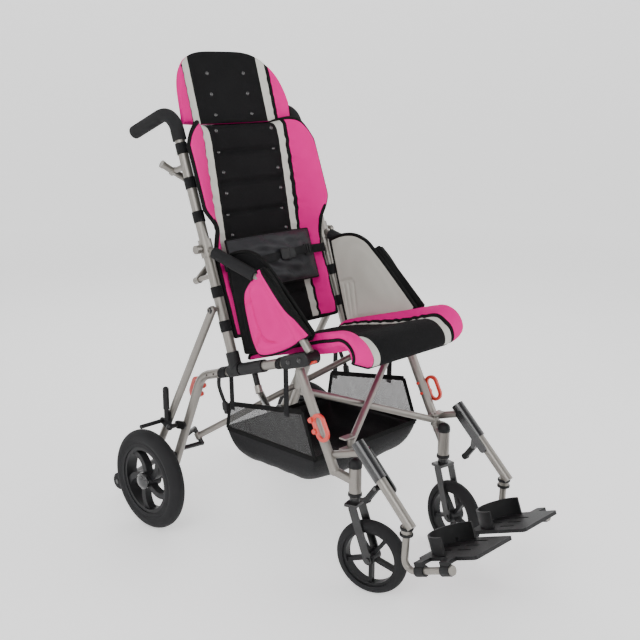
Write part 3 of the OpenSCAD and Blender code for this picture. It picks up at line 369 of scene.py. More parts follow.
def sweep(path: Array, level: tuple | Array, outline: Array, closed: bool = False) -> tuple:
    """Carries a flat outline along a path: point = path + side * outline x + up * outline y.

    Side is the level direction less its part along the path, and up is square to both.

    Args:
        path: Points to follow.
        level: The outline's x direction, one for all or one for each point.
        outline: Closed outline, as [x, y] rows.
        closed: The path is a loop.

    Returns:
        Points and faces.
    """
    n, k = len(path), len(outline)
    if closed:
        along = np.roll(path, -1, 0) - np.roll(path, 1, 0)
    else:
        along = np.gradient(path, axis=0)
    along = unit(along)
    level = np.broadcast_to(np.asarray(level, float), path.shape)
    side = unit(level - (level * along).sum(-1, keepdims=True) * along)
    up = np.cross(along, side)
    points = path[:, None] + side[:, None] * outline[None, :, :1] + up[:, None] * outline[None, :, 1:]
    faces = cells(n, k, closed, True).tolist()
    if not closed:
        faces += [list(range(k)), list(range((n - 1) * k, n * k))]
    return points.reshape(-1, 3), faces


def ring_outline(radius: float, count: int = 12) -> Array:
    """Circle as an outline."""
    turn = np.linspace(0, 2 * np.pi, count, endpoint=False)
    return radius * np.stack([np.cos(turn), np.sin(turn)], -1)


def signed_power(x: Array, power: float) -> Array:
    """Power of a number's size, with the number's sign."""
    return np.sign(x) * np.abs(x) ** power


def strap_outline(width: float, thick: float, count: int = 16) -> Array:
    """Flat strap with round edges: half sizes times signed powers of cosine and sine, the first low.

    Args:
        width: Its width.
        thick: Its thickness.
        count: Points round it.

    Returns:
        Closed outline.
    """
    turn = np.linspace(0, 2 * np.pi, count, endpoint=False)
    x, y = signed_power(np.cos(turn), 0.35), signed_power(np.sin(turn), 0.6)
    return np.stack([width / 2 * x, thick / 2 * y], -1)


def smooth_path(points: list, count: int) -> Array:
    """Smooth curve through points: Catmull-Rom pieces, evenly spaced in their own parameter.

    Args:
        points: Points to pass through.
        count: Points on the curve.

    Returns:
        The curve's points.
    """
    p = np.asarray(points, float)
    p = np.vstack([2 * p[0] - p[1], p, 2 * p[-1] - p[-2]])
    t = np.linspace(0, len(p) - 3 - 1e-9, count)
    i, f = t.astype(int), (t % 1)[:, None]
    a, b, c, d = p[i], p[i + 1], p[i + 2], p[i + 3]
    return 0.5 * (2 * b + (c - a) * f + (2 * a - 5 * b + 4 * c - d) * f**2 + (3 * b - a - 3 * c + d) * f**3)


def turned(outline: Array, centres: Array, axes: Array, count: int = 24) -> tuple:
    """Turns an outline of [radius, height] rows about an axis at each centre.

    Args:
        outline: Outline whose ends lie on the axis or meet.
        centres: One centre for each copy.
        axes: One unit axis for each copy.
        count: Points round the axis.

    Returns:
        Points and faces of all copies.
    """
    centres, axes = np.atleast_2d(centres).astype(float), unit(np.atleast_2d(axes).astype(float))
    guide = np.where(np.abs(axes[:, 2:]) < 0.8, [[0.0, 0.0, 1.0]], [[1.0, 0.0, 0.0]])
    side = unit(np.cross(axes, guide))
    up = np.cross(axes, side)
    turn = np.linspace(0, 2 * np.pi, count, endpoint=False)
    spoke = side[:, None] * np.cos(turn)[:, None] + up[:, None] * np.sin(turn)[:, None]
    points = (centres[:, None, None] + spoke[:, :, None] * outline[None, None, :, :1]
              + axes[:, None, None] * outline[None, None, :, 1:])
    one = cells(count, len(outline), True, False)
    step = count * len(outline)
    faces = (one[None] + step * np.arange(len(centres))[:, None, None]).reshape(-1, 4).tolist()
    return points.reshape(-1, 3), faces


def block(centre: tuple, half: tuple, along: tuple, up: tuple, power: float = 0.3) -> tuple:
    """Box with round edges: a superellipsoid, sign(c)|c|^power on each axis.

    Args:
        centre: Its middle.
        half: Half sizes along, across and up.
        along: Its first direction.
        up: Its third direction.
        power: Low is boxy, one is round.

    Returns:
        Points and faces.
    """
    e1, e3 = unit(np.asarray(along, float)), unit(np.asarray(up, float))
    e2 = np.cross(e3, e1)
    v, u = np.meshgrid(np.linspace(-np.pi / 2, np.pi / 2, 17), np.linspace(-np.pi, np.pi, 32, endpoint=False))
    ring = signed_power(np.cos(v), power)
    a = ring * signed_power(np.cos(u), power) * half[0]
    b = ring * signed_power(np.sin(u), power) * half[1]
    c = signed_power(np.sin(v), power) * half[2]
    points = np.asarray(centre, float) + a[..., None] * e1 + b[..., None] * e2 + c[..., None] * e3
    return points.reshape(-1, 3), cells(32, 17, True, False).tolist()


def gather(parts: list) -> tuple:
    """Joins several points-and-faces pairs into one.

    Args:
        parts: Points and faces of each part.

    Returns:
        Points and faces of all.
    """
    points, faces, start = [], [], 0
    for p, f in parts:
        points.append(p)
        faces += [[start + i for i in face] for face in f]
        start += len(p)
    return np.vstack(points), faces


@dataclass(frozen=True)
class Lines:
    """Lines of the side frame, in millimetres from the ground under the rear axle."""

    post_low: tuple = (-265.0, 523.0)
    post_slope: float = 239 / 667
    post_back: tuple = (0.94139, -0.33732)
    corner: tuple = (-122.0, 460.0)
    rail_way: tuple = (-0.951445, 0.30782)
    rail_up: tuple = (0.30782, 0.951445)

    def behind_post(self, z: Array, gap: Array) -> tuple:
        """The y and z of points a gap behind the post's axis at height z."""
        y = self.post_low[0] + (z - self.post_low[1]) * self.post_slope
        return y + gap * self.post_back[0], z + gap * self.post_back[1]

    def post_points(self, x: Array, z: Array, gap: Array) -> Array:
        """Points at x and a gap behind the post's axis at height z."""
        y, level = self.behind_post(z, gap)
        return np.stack([x, y, level], -1)

    def over_rail(self, s: Array, gap: Array) -> tuple:
        """The y and z of points a gap above the rail's axis at run s."""
        y = self.corner[0] + self.rail_way[0] * s + self.rail_up[0] * gap
        return y, self.corner[1] + self.rail_way[1] * s + self.rail_up[1] * gap


LINES = Lines()


def cloth_bands(edge: float, stripe: float, middle: float, seam: float, steps: tuple) -> tuple:
    """Columns of a cushion, from right to left: pink wing, bound grey stripe, black middle, and back again.

    Args:
        edge: Where the wing ends.
        stripe: Where the stripe meets the wing.
        middle: Where the stripe meets the middle.
        seam: Width of the binding between them.
        steps: Steps in a wing and in the middle.

    Returns:
        Column places, and a number in CLOTHS for each gap between them.
    """
    right = [(-edge, -stripe - seam, steps[0], 0), (-stripe - seam, -stripe, 1, 1),
             (-stripe, -middle - seam, STRIPE_STEPS, 2), (-middle - seam, -middle, 1, 1)]
    left = [(-b, -a, n, pick) for a, b, n, pick in right[::-1]]
    rows = right + [(-middle, middle, steps[1], 3)] + left
    places = np.concatenate([np.linspace(a, b, n, endpoint=False) for a, b, n, _ in rows] + [[edge]])
    return places, np.concatenate([np.full(n, pick) for _, _, n, pick in rows])


def cushion(name: str, front: Array, rear: Array, picks: Array, rear_pick: int,
            finishes: list) -> bpy.types.Object:
    """Closes two grids of points into one padded piece.

    Args:
        name: The piece's name.
        front: Front points, rows by columns by three.
        rear: Rear points, the same grid.
        picks: Finish number of each column of cells in front.
        rear_pick: Finish number of the rear and of the edge.
        finishes: The finishes.

    Returns:
        The piece.
    """
    rows, cols = front.shape[:2]
    n = rows * cols
    one = cells(rows, cols)
    rim = rim_of(rows, cols)
    after = np.roll(rim, -1)
    edge = np.stack([rim, after, n + after, n + rim], -1)
    faces = np.vstack([one, n + one[:, ::-1], edge])
    chosen = np.concatenate([np.tile(picks, rows - 1), np.full(len(one) + len(edge), rear_pick)])
    points = np.vstack([front.reshape(-1, 3), rear.reshape(-1, 3)])
    return add_piece(name, points, faces.tolist(), finishes, chosen)


def piping(name: str, front: Array, rear: Array, normal: tuple, radius: float) -> bpy.types.Object:
    """Sewn binding round a cushion: a round cord along the middle of its edge.

    Args:
        name: The piece's name.
        front: Front points of the cushion.
        rear: Its rear points.
        normal: A direction out of the cushion's face.
        radius: The binding's radius.

    Returns:
        The piece.
    """
    rows, cols = front.shape[:2]
    rim = rim_of(rows, cols)
    path = (front.reshape(-1, 3)[rim] + rear.reshape(-1, 3)[rim]) / 2
    points, faces = sweep(path, normal, ring_outline(radius), closed=True)
    return add_piece(name, points, faces, [BINDING])


def pucker(x: Array, along: Array, seams: list, size: float) -> Array:
    """Gathers beside seams: sines along the seam that die away from it within some 20 mm.

    Args:
        x: Places across.
        along: Places along the seams.
        seams: Where the seams lie across.
        size: Height of the gathers.

    Returns:
        Height at each place.
    """
    wave = np.sin(along * 2 * np.pi / 37.0 + 1.3 * np.sin(along * 0.021))
    wave = wave + 0.6 * np.sin(along * 2 * np.pi / 23.0 + x * 0.07)
    near = sum(np.exp(-np.abs(x - s) / 20.0) for s in seams)
    return size * wave * near


def ease(x: Array) -> Array:
    """Smooth step from 0 at zero to 1 at one."""
    x = np.clip(x, 0, 1)
    return x * x * (3 - 2 * x)


def drawn_in(v: Array, power: int) -> Array:
    """Share of a cushion's padding along its length: 1, falling to 0 at both ends, later for a high power."""
    return np.clip(1 - np.abs(2 * v - 1) ** power, 0, 1) ** 0.5


def rail_loop(sign: int, y: float, z: float, radii: tuple, count: int) -> Array:
    """Upright loop round a seat rail at y and z, with its radii across and up.

    Args:
        sign: Sign of the side's X.
        y: The rail's place along the buggy.
        z: Its height there.
        radii: Radii across and up. A negative one starts at the inside.
        count: Points round it.

    Returns:
        The loop's points.
    """
    turn = np.linspace(-np.pi, np.pi, count, endpoint=False)
    x = sign * (RAIL_X + radii[0] * np.cos(turn))
    return np.stack([x, np.full_like(turn, y), z + radii[1] * np.sin(turn)], -1)


def snap_spots(x: float, rows: tuple) -> tuple:
    """The x and z of two rows of press studs, at x and -x, from the lowest, the highest and the count."""
    low, high, count = rows
    return np.repeat([-x, x], count), np.tile(np.linspace(low, high, count), 2)


# Soft goods

CLOTHS = [PINK, BINDING, STRIPE, BLACK_KNIT]
SNAP_DOME = np.array([[0, 4.2], [2.2, 4.0], [4.2, 3.0], [5.4, 1.2], [6.2, 0.6], [6.2, -3.0], [0, -3.0]])


@dataclass
class BackCushion:
    """Padded back: a channelled black middle, two grey stripes and two pink wings in front of the posts.

    A gap is a distance behind the posts' axis. forward and spread are the heights over which the wings come
    forward and spread. bend is where the rear turns forward, and over what width. curl is the gap of the
    wings' tips below and above, and the heights between. tuft is the middle's padding, the channels' depth
    and the fall at the sides. lean is how far back the front starts, and the height and slope of its lean.
    """

    low: float = 592.0
    top: float = 1147.0
    half: float = 199.5
    half_top: float = 233.0
    forward: tuple = (790.0, 862.0)
    spread: tuple = (856.0, 925.0)
    set_back: float = 40.0
    wing: float = 36.0
    wing_top: float = 76.0
    bend: tuple = (112.0, 85.5)
    curl: tuple = (-6.0, -50.0, 790.0, 900.0)
    middle: float = 120.0
    stripe: float = 152.0
    binding: float = 8.0
    piping: float = 6.5
    channels: int = 7
    tuft: tuple = (33.0, 9.0, 4.6)
    stripe_pad: float = 27.0
    wing_pad: tuple = (7.0, 4.0)
    gathers: float = 1.6
    creases: float = 1.1
    hem: float = 9.0
    thin: float = 11.0
    corner: float = 66.0
    lean: tuple = (16.0, 841.0, 0.165)
    lean_range: tuple = (-14.0, 60.0)
    snap_x: float = 104.0
    snap_rows: tuple = (852.0, 1123.0, 6)

    def columns(self) -> tuple:
        """Columns as shares of the half width, and their finishes, from right to left."""
        stripe, middle, seam = (a / self.half_top for a in (self.stripe, self.middle, self.binding))
        return cloth_bands(1, stripe, middle, seam, (22, 46))

    def out(self, z: Array) -> Array:
        """How far the wings have spread in front of the posts at a height: 0 below the arms, 1 above."""
        return ease((z - self.spread[0]) / (self.spread[1] - self.spread[0]))

    def ahead(self, z: Array) -> Array:
        """How far the wings have come in front of the posts, which is done before they spread."""
        return ease((z - self.forward[0]) / (self.forward[1] - self.forward[0]))

    def reach(self, z: Array) -> Array:
        """Half of the width at a height."""
        return self.half + (self.half_top - self.half) * self.out(z)

    def place(self, share: Array, z: Array) -> Array:
        """Where a column lies: the wing's share of the width grows as it spreads.

        Args:
            share: Columns as shares of the half width.
            z: Heights.

        Returns:
            Places across.
        """
        inner = self.stripe / self.half_top
        a = np.abs(share)
        wing = self.stripe + (self.reach(z) - self.stripe) * (a - inner) / (1 - inner)
        return np.sign(share) * np.where(a > inner, wing, a * self.half_top)

    def rear_gap(self, x: Array, z: Array) -> Array:
        """How far the rear lies behind the posts: it comes forward to clear them at the sides.

        Args:
            x: Places across.
            z: Heights.

        Returns:
            Gaps.
        """
        low = self.set_back - self.wing * np.clip(np.abs(x) / self.half, 0, 1) ** 4
        high = self.set_back - self.wing_top * ease((np.abs(x) - self.bend[0]) / self.bend[1])
        return low + (high - low) * self.ahead(z)

    def front_gap(self, x: Array, z: Array, v: Array) -> Array:
        """How far the front lies behind the posts: channels in the middle, wings that curl forward.

        Args:
            x: Places across.
            z: Heights.
            v: Shares of the cushion's height.

        Returns:
            Gaps.
        """
        a = np.abs(x)
        start, foot, slope = self.lean
        least, most = self.lean_range
        lead = np.clip(np.clip(slope * (z - foot), 0, most) - start, least, most)
        full, deep, fall = self.tuft
        groove = np.abs(np.cos(self.channels * np.pi * v)) ** 26
        tuft = full - deep * groove - fall * (a / self.middle) ** 6
        flat = self.set_back - lead - np.where(a < self.middle, tuft, self.stripe_pad)
        share = np.clip((a - self.stripe) / (self.reach(z) - self.stripe), 0, 1)
        low, high, z0, z1 = self.curl
        tip = low + (high - low) * ease((z - z0) / (z1 - z0))
        swell = (self.wing_pad[0] + self.wing_pad[1] * self.out(z)) * np.sin(np.pi * share) ** 0.7
        gathers = pucker(x, v * (self.top - self.low), [-self.stripe, self.stripe], self.gathers)
        creases = np.sin(0.085 * (z - 0.9 * a) + 1.7 * np.sin(0.013 * z)) * np.sin(np.pi * share) ** 0.5
        return flat + (tip - flat) * share**1.1 - swell - gathers - self.creases * creases

    def gaps(self, x: Array, z: Array, v: Array) -> tuple:
        """How far the front and the rear lie behind the posts, with the ends drawn together.

        Args:
            x: Places across.
            z: Heights.
            v: Shares of the cushion's height.

        Returns:
            Gaps of the front and of the rear.
        """
        front = self.front_gap(x, z, v)
        rear = np.maximum(self.rear_gap(x, z), front + self.thin)
        return rear - self.hem - (rear - front - self.hem) * drawn_in(v, 16), rear

    def build(self) -> None:
        """Builds the cushion, its binding and its snaps."""
        places, picks = self.columns()
        v, share = np.meshgrid(np.linspace(0, 1, 230), places, indexing="ij")
        outside = (np.abs(share) * self.half_top - self.stripe) / (self.half_top - self.stripe)
        fall = self.corner * np.clip(outside, 0, 1) ** 2.6
        z = self.low + (self.top - fall - self.low) * v
        x = self.place(share, z)
        near, far = self.gaps(x, z, v)
        front, rear = LINES.post_points(x, z, near), LINES.post_points(x, z, far)
        made = cushion("back_pad", front, rear, picks, 3, CLOTHS)
        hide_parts("back_cushion")
        soft(made)
        soft(piping("back_binding", front, rear, (0, *LINES.post_back), self.piping))
        x, z = snap_spots(self.snap_x, self.snap_rows)
        near, _ = self.gaps(x, z, (z - self.low) / (self.top - self.low))
        add_snaps("back_snaps", LINES.post_points(x, z, near))


def add_snaps(name: str, centres: Array) -> None:
    """Domed press studs on the front of a cushion.

    Args:
        name: The piece's name.
        centres: Where the studs sit.
    """
    axes = np.tile([0, -LINES.post_back[0], -LINES.post_back[1]], (len(centres), 1))
    soft(add_piece(name, *turned(SNAP_DOME, centres, axes, 16), [GLOSS]))


@dataclass
class HeadCushion:
    """Head pad that stands on the back cushion, with the same colours and a rounded top.

    edge, stripe, middle and binding are shares of the half width.
    """

    low: float = 1150.6
    top: float = 1345.0
    half: float = 203.0
    face: float = 17.0
    lean: float = 10.0
    wing: float = 20.0
    thick: float = 34.0
    hem: float = 9.0
    wing_pad: float = 9.0
    middle_pad: float = 5.0
    gathers: float = 0.8
    seam_length: float = 195.0
    edge: float = 0.985
    stripe: float = 0.755
    middle: float = 0.59
    binding: float = 0.038
    snap_x: float = 68.0
    snap_rows: tuple = (1172.0, 1284.0, 3)

    def arch(self, share: Array) -> Array:
        """Share of the full height that the rounded top leaves."""
        return np.sqrt(1 - np.abs(share) ** 4)

    def front_gap(self, share: Array, v: Array) -> Array:
        """How far the front lies behind the posts, at a share of the half width."""
        return self.face - self.lean * v - self.wing * share**4

    def bulge(self, share: Array, v: Array) -> Array:
        """How far the padding stands in front of the cover's plane between its seams.

        Args:
            share: Columns as shares of the half width.
            v: Shares of the cushion's height.

        Returns:
            Distances.
        """
        a = np.abs(share)
        ends = drawn_in(v, 10)
        wing = self.wing_pad * np.sin(np.pi * np.clip((a - self.stripe) / (1 - self.stripe), 0, 1)) ** 0.7
        middle = self.middle_pad * np.clip(1 - (a / self.middle) ** 4, 0, None) * (a < self.middle)
        seams = [-self.half * self.stripe, self.half * self.stripe]
        gathers = pucker(share * self.half, v * self.seam_length, seams, self.gathers)
        return ends * (wing + middle) + gathers * ends

    def front_at(self, share: Array, z: Array, v: Array) -> Array:
        """Points on the front."""
        return LINES.post_points(share * self.half, z, self.front_gap(share, v) - self.bulge(share, v))

    def build(self) -> None:
        """Builds the pad and its snaps."""
        places, picks = cloth_bands(self.edge, self.stripe, self.middle, self.binding, (16, 34))
        v, share = np.meshgrid(np.linspace(0, 1, 80), places, indexing="ij")
        z = self.low + (self.top - self.low) * v * self.arch(share)
        swell = (1 - share**4) * (1 - np.abs(2 * v - 1) ** 8)
        front = self.front_at(share, z, v)
        far = self.front_gap(share, v) + self.hem + (self.thick - self.hem) * swell
        rear = LINES.post_points(share * self.half, z, far)
        made = cushion("head_pad", front, rear, picks, 0, CLOTHS)
        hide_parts("head_cushion")
        soft(made)
        x, z = snap_spots(self.snap_x, self.snap_rows)
        share = x / self.half
        v = (z - self.low) / (self.top - self.low) / self.arch(share)
        add_snaps("head_snaps", self.front_at(share, z, v))


@dataclass
class SeatCushion:
    """Seat pad along the rails that rolls down over its front edge.

    wing_pad is the wings' padding, its swell and the rise at the rim. middle_pad is the middle's padding and
    its fall at the sides. tuck draws the rims in, up to the stretch in tuck_until. sag_over is where the sag
    starts and over what stretch it grows. Stretches are shares of the length.
    """

    start: float = 178.0
    flat: float = 362.0
    half: float = 211.4
    lift: float = 18.3
    roll: float = 34.0
    roll_turn: float = math.radians(112)
    middle: float = 124.0
    stripe: float = 156.0
    binding: float = 7.0
    piping: float = 4.5
    wing_pad: tuple = (20.0, 20.0, 12.0)
    middle_pad: tuple = (33.0, 4.0)
    stripe_pad: float = 29.0
    gathers: float = 1.3
    hem: float = 9.0
    tuck: float = 0.096
    tuck_until: tuple = (0.66, 0.16)
    sag: float = 22.0
    sag_over: tuple = (0.1, 0.6)

    def base(self, s: Array, over: Array) -> tuple:
        """The y and z of points over the seat's underside: straight along the rail, then round the roll.

        Args:
            s: Runs along the seat.
            over: Distances over the underside.

        Returns:
            Both, as arrays.
        """
        turn = np.clip((s - self.flat) / self.roll, 0, None)
        flat = np.minimum(s, self.flat)
        y, z = LINES.over_rail(self.start + flat, self.lift - self.roll)
        cos, sin = np.cos(turn)[..., None], np.sin(turn)[..., None]
        up = np.array(LINES.rail_up) * cos + np.array(LINES.rail_way) * sin
        reach = self.roll + over
        return y + up[..., 0] * reach, z + up[..., 1] * reach

    def build(self) -> None:
        """Builds the pad and its binding."""
        m, t, h = self.middle, self.stripe, self.half
        places, picks = cloth_bands(h, t, m, self.binding, (16, 40))
        length = self.flat + self.roll * self.roll_turn
        v, x = np.meshgrid(np.linspace(0, 1, 120), places, indexing="ij")
        a = np.abs(x)
        share = np.clip((a - t) / (h - t), 0, 1)
        full, swell, rim = self.wing_pad
        wing = full + swell * np.sin(np.pi * np.clip(share * 0.9 + 0.1, 0, 1)) ** 0.6
        middle = self.middle_pad[0] - self.middle_pad[1] * (a / m) ** 6
        thick = np.where(a < m, middle, self.stripe_pad)
        thick = np.where(a > t, wing + rim * share**2 * (1 - v**6), thick)
        gathers = pucker(x, v * length, [-t, t], self.gathers)
        thick = self.hem + (thick + gathers - self.hem) * drawn_in(v, 18)
        drawn = 1 - ease((v - self.tuck_until[0]) / self.tuck_until[1])
        x = x * (1 - self.tuck * drawn * (a > t) * share)
        sag = self.sag * ease((v - self.sag_over[0]) / self.sag_over[1]) * (1 - share)
        y, z = self.base(v * length, thick)
        front = np.stack([x, y, z - sag], -1)
        y, z = self.base(v * length, np.zeros_like(thick))
        rear = np.stack([x, y, z - sag], -1)
        made = cushion("seat_pad", front, rear, picks, 0, CLOTHS)
        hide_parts("seat_cushion")
        soft(made)
        soft(piping("seat_binding", front, rear, (1, 0.02, 0.03), self.piping))


@dataclass
class SidePanel:
    """Side guard in two layers: a grey inner panel beside the seat, and a pink pad sewn round the arm tube.

    Edges are y and z of points in the side view. Each seam has its direction, its place and the stretch that
    it covers, as shares of the panel. The pads are the thickness at the rim, the padding inside it and the
    depth of a seam. cover is the outer pad's thickness over the arm tube, whose axis is arm.
    """

    side: Side
    inner_x: float = 203.0
    outer_x: float = 225.0
    inner_low: tuple = ((-286.0, 556.0), (-340.0, 572.0), (-454.0, 606.0), (-530.0, 642.0))
    inner_high: tuple = ((-212.0, 806.0), (-256.0, 824.0), (-305.0, 831.0), (-350.0, 820.0), (-384.0, 795.0),
                         (-432.0, 754.0), (-538.0, 656.0))
    outer_rear: tuple = ((-372.0, 796.0), (-326.0, 748.0), (-312.0, 716.0), (-320.0, 668.0), (-346.0, 596.0),
                         (-376.0, 572.0), (-462.0, 603.0), (-534.0, 648.0))
    outer_front: tuple = ((-382.0, 802.0), (-432.0, 762.0), (-548.0, 658.0))
    inner_seams: tuple = ((True, 0.10, 0.06, 0.50), (True, 0.19, 0.06, 0.50), (True, 0.28, 0.06, 0.50),
                          (False, 0.50, 0.02, 0.28), (False, 0.08, 0.04, 0.55))
    outer_seams: tuple = ((False, 0.30, 0.22, 0.80), (True, 0.36, 0.02, 0.30), (True, 0.60, 0.02, 0.30))
    seam_width: float = 0.016
    seam_end: float = 0.04
    inner_pad: tuple = (2.0, 5.4, 4.6)
    inner_slack: float = 0.8
    inner_piping: float = 5.5
    outer_pad: tuple = (3.0, 11.0, 8.0)
    outer_piping: float = 4.5
    arm: tuple = ((-415.0, 761.0), (-548.0, 613.0))
    cover: float = 14.6
    cover_reach: float = 17.0
    bound_from: float = 0.93

    def ruled(self, first: tuple, second: tuple, rows: int, cols: int) -> tuple:
        """Grid between two smooth edges, with its shares across and along.

        Args:
            first: Points of one edge.
            second: Points of the other.
            rows: Points from edge to edge.
            cols: Points along the edges.

        Returns:
            Points, and their shares along the edges and from edge to edge.
        """
        t, s = np.meshgrid(np.linspace(0, 1, rows), np.linspace(0, 1, cols), indexing="ij")
        a, b = smooth_path(first, cols), smooth_path(second, cols)
        return a[None] * (1 - t[..., None]) + b[None] * t[..., None], s, t

    def quilt(self, s: Array, t: Array, seams: tuple) -> Array:
        """Depth of sewn lines, each with a place, a direction and the stretch that it covers.

        Args:
            s: Shares along the edges.
            t: Shares from edge to edge.
            seams: The sewn lines.

        Returns:
            Depths from 0 to 1, a bell curve across each line.
        """
        depth = np.zeros_like(s)
        for upright, place, start, end in seams:
            across, along = (s, t) if upright else (t, s)
            line = np.exp(-(((across - place) / self.seam_width) ** 2))
            line = line * ease((along - start) / self.seam_end) * ease((end - along) / self.seam_end)
            depth = np.maximum(depth, line)
        return depth

    def layer(self, x: Array, flat: Array) -> Array:
        """Points at a distance from the middle of the buggy, over points in the side view."""
        return np.stack([self.side.value * x, flat[..., 0], flat[..., 1]], -1)

    def build(self) -> None:
        """Builds both layers and their bindings."""
        self.inner_layer()
        self.outer_layer()

    def inner_layer(self) -> None:
        """Thin panel beside the seat, with sewn lines at its rear."""
        name = self.side.name.lower()
        flat, s, t = self.ruled(self.inner_low, self.inner_high, 70, 90)
        swell = np.clip(np.sin(np.pi * s) * np.sin(np.pi * t), 0, 1) ** 0.35
        rim, full, deep = self.inner_pad
        slack = self.inner_slack * np.sin(9 * s + 5 * t) * swell
        thick = rim + (full - deep * self.quilt(s, t, self.inner_seams) + slack) * swell
        outer = self.layer(self.inner_x + 0.7 * thick, flat)
        inner = self.layer(self.inner_x - thick, flat)
        panel = cushion(f"{name}_inner_panel", inner, outer, np.zeros(89, int), 1, [LINING, BLACK_KNIT])
        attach(panel, self.side.frame)
        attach(piping(f"{name}_inner_binding", outer, inner, (1, 0, 0), self.inner_piping), self.side.frame)

    def outer_layer(self) -> None:
        """Pad that wraps the arm tube, with a bound edge."""
        name = self.side.name.lower()
        flat, s, t = self.ruled(self.outer_rear, self.outer_front, 56, 110)
        a, b = (np.array(p) for p in self.arm)
        way = unit(b - a)
        off = np.abs((flat[..., 0] - a[0]) * way[1] - (flat[..., 1] - a[1]) * way[0])
        swell = np.clip(np.sin(np.pi * s) * np.sin(np.pi * t), 0, 1) ** 0.4
        rim, full, deep = self.outer_pad
        pad = rim + (full - deep * self.quilt(s, t, self.outer_seams)) * swell
        thick = np.maximum(pad, self.cover * np.exp(-((off / self.cover_reach) ** 4)))
        outer = self.layer(self.outer_x + thick, flat).transpose(1, 0, 2)
        inner = self.layer(self.outer_x - np.minimum(thick, self.cover), flat).transpose(1, 0, 2)
        picks = (np.linspace(0, 1, 55) > self.bound_from).astype(int)
        made = cushion(f"{name}_side_pad", outer, inner, picks, 1, [PINK, BINDING])
        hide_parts(f"{name}_side_panel")
        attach(made, self.side.frame)
        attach(piping(f"{name}_panel_binding", outer, inner, (1, 0, 0), self.outer_piping), self.side.frame)


@dataclass
class LapPad:
    """Soft belt pad over the lower back, its webbing, buckle and slider.

    stand is how far the pad's rear lies in front of the back cushion's rear, and flare how far it eases back
    at the sides. The belt follows the padding out to belt_edge, and past the pad it lies belt_off in front.
    """

    back: BackCushion
    low: float = 701.0
    high: float = 836.0
    half: float = 158.0
    bow: float = 20.0
    rim: float = 6.0
    loft: float = 16.0
    creases: float = 3.2
    piping: float = 3.5
    stand: float = 36.9
    flare: float = 26.0
    belt_half: float = 196.0
    belt_z: float = 772.0
    belt_edge: float = 149.0
    belt_off: float = 12.0
    belt_gap: float = 2.6
    belt: tuple = (25.0, 2.2)
    buckle_x: float = 24.0
    slider_x: float = 112.0

    def face(self, x: Array, z: Array, out: Array) -> Array:
        """Points a distance in front of the pad's rear, which bows off the back cushion.

        Args:
            x: Places across.
            z: Heights.
            out: Distances in front.

        Returns:
            Points.
        """
        share = x / self.half
        a = x / self.back.half
        gap = self.back.set_back - self.back.wing * a**4 - self.stand + self.flare * a**4
        gap = gap - self.bow * (1 - np.clip(share, -1, 1) ** 2)
        return LINES.post_points(x, z, gap - out)

    def padding(self, x: Array, z: Array) -> Array:
        """Thickness: full in the middle, thin at the rim, with slack creases across.

        Args:
            x: Places across.
            z: Heights.

        Returns:
            Thicknesses.
        """
        share, v = x / self.half, (z - self.low) / (self.high - self.low)
        swell = np.clip(1 - np.abs(share) ** 4, 0, 1) * np.clip(1 - np.abs(2 * v - 1) ** 4, 0, 1) ** 0.6
        crease = np.sin(z * 0.16 + 2.2 * np.sin(x * 0.021)) + 0.7 * np.sin(x * 0.10 + z * 0.07)
        return self.rim + self.loft * swell + self.creases * crease * swell

    def build(self) -> None:
        """Builds the pad, the belt across it and the belt's fittings."""
        levels, places = np.linspace(self.low, self.high, 56), np.linspace(-self.half, self.half, 110)
        z, x = np.meshgrid(levels, places, indexing="ij")
        front = self.face(x, z, self.padding(x, z))
        rear = self.face(x, z, np.zeros_like(x))
        made = cushion("belt_pad", front, rear, np.zeros(109, int), 0, [CHARCOAL])
        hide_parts("lap_pad")
        soft(made)
        soft(piping("belt_pad_binding", front, rear, (0, *LINES.post_back), self.piping))
        x = np.linspace(-self.belt_half, self.belt_half, 90)
        z = self.belt_z + 6 * np.sin(x * 0.012)
        over = self.padding(np.clip(x, -self.belt_edge, self.belt_edge), z)
        path = self.face(x, z, np.where(np.abs(x) < self.half, over, self.belt_off) + self.belt_gap)
        points, faces = sweep(path, (0, LINES.post_slope, 1), strap_outline(*self.belt))
        soft(add_piece("belt", points, faces, [WEBBING]))
        self.fittings(path)

    def fittings(self, path: Array) -> None:
        """Side-release buckle and slider, threaded on the belt.

        Args:
            path: Points along the belt.
        """
        ahead = np.array([0, -LINES.post_back[0], -LINES.post_back[1]])
        up = np.array([0, LINES.post_back[1] * -1, LINES.post_back[0]])
        across = np.array([1, 0, 0])
        mid = path[np.argmin(np.abs(path[:, 0] - self.buckle_x))] + ahead * 3
        slide = path[np.argmin(np.abs(path[:, 0] - self.slider_x))] + ahead * 2
        rows = [(mid + across * dx, half, 0.35) for dx, half in ((-13, (16, 17, 6)), (14, (13, 15.5, 5)))]
        rows += [(mid + across + up * k * 14, (10, 3.2, 4.5), 0.4) for k in (-1, 1)]
        rows += [(slide + across * dx, (2.4, 16, 3.6), 0.5) for dx in (-9, 0, 9)]
        rows += [(slide + up * k * 14.5, (10, 2.2, 3.2), 0.5) for k in (-1, 1)]
        parts = [block(centre, half, across, ahead, power) for centre, half, power in rows]
        soft(add_piece("belt_buckle", *gather(parts), [NYLON]))


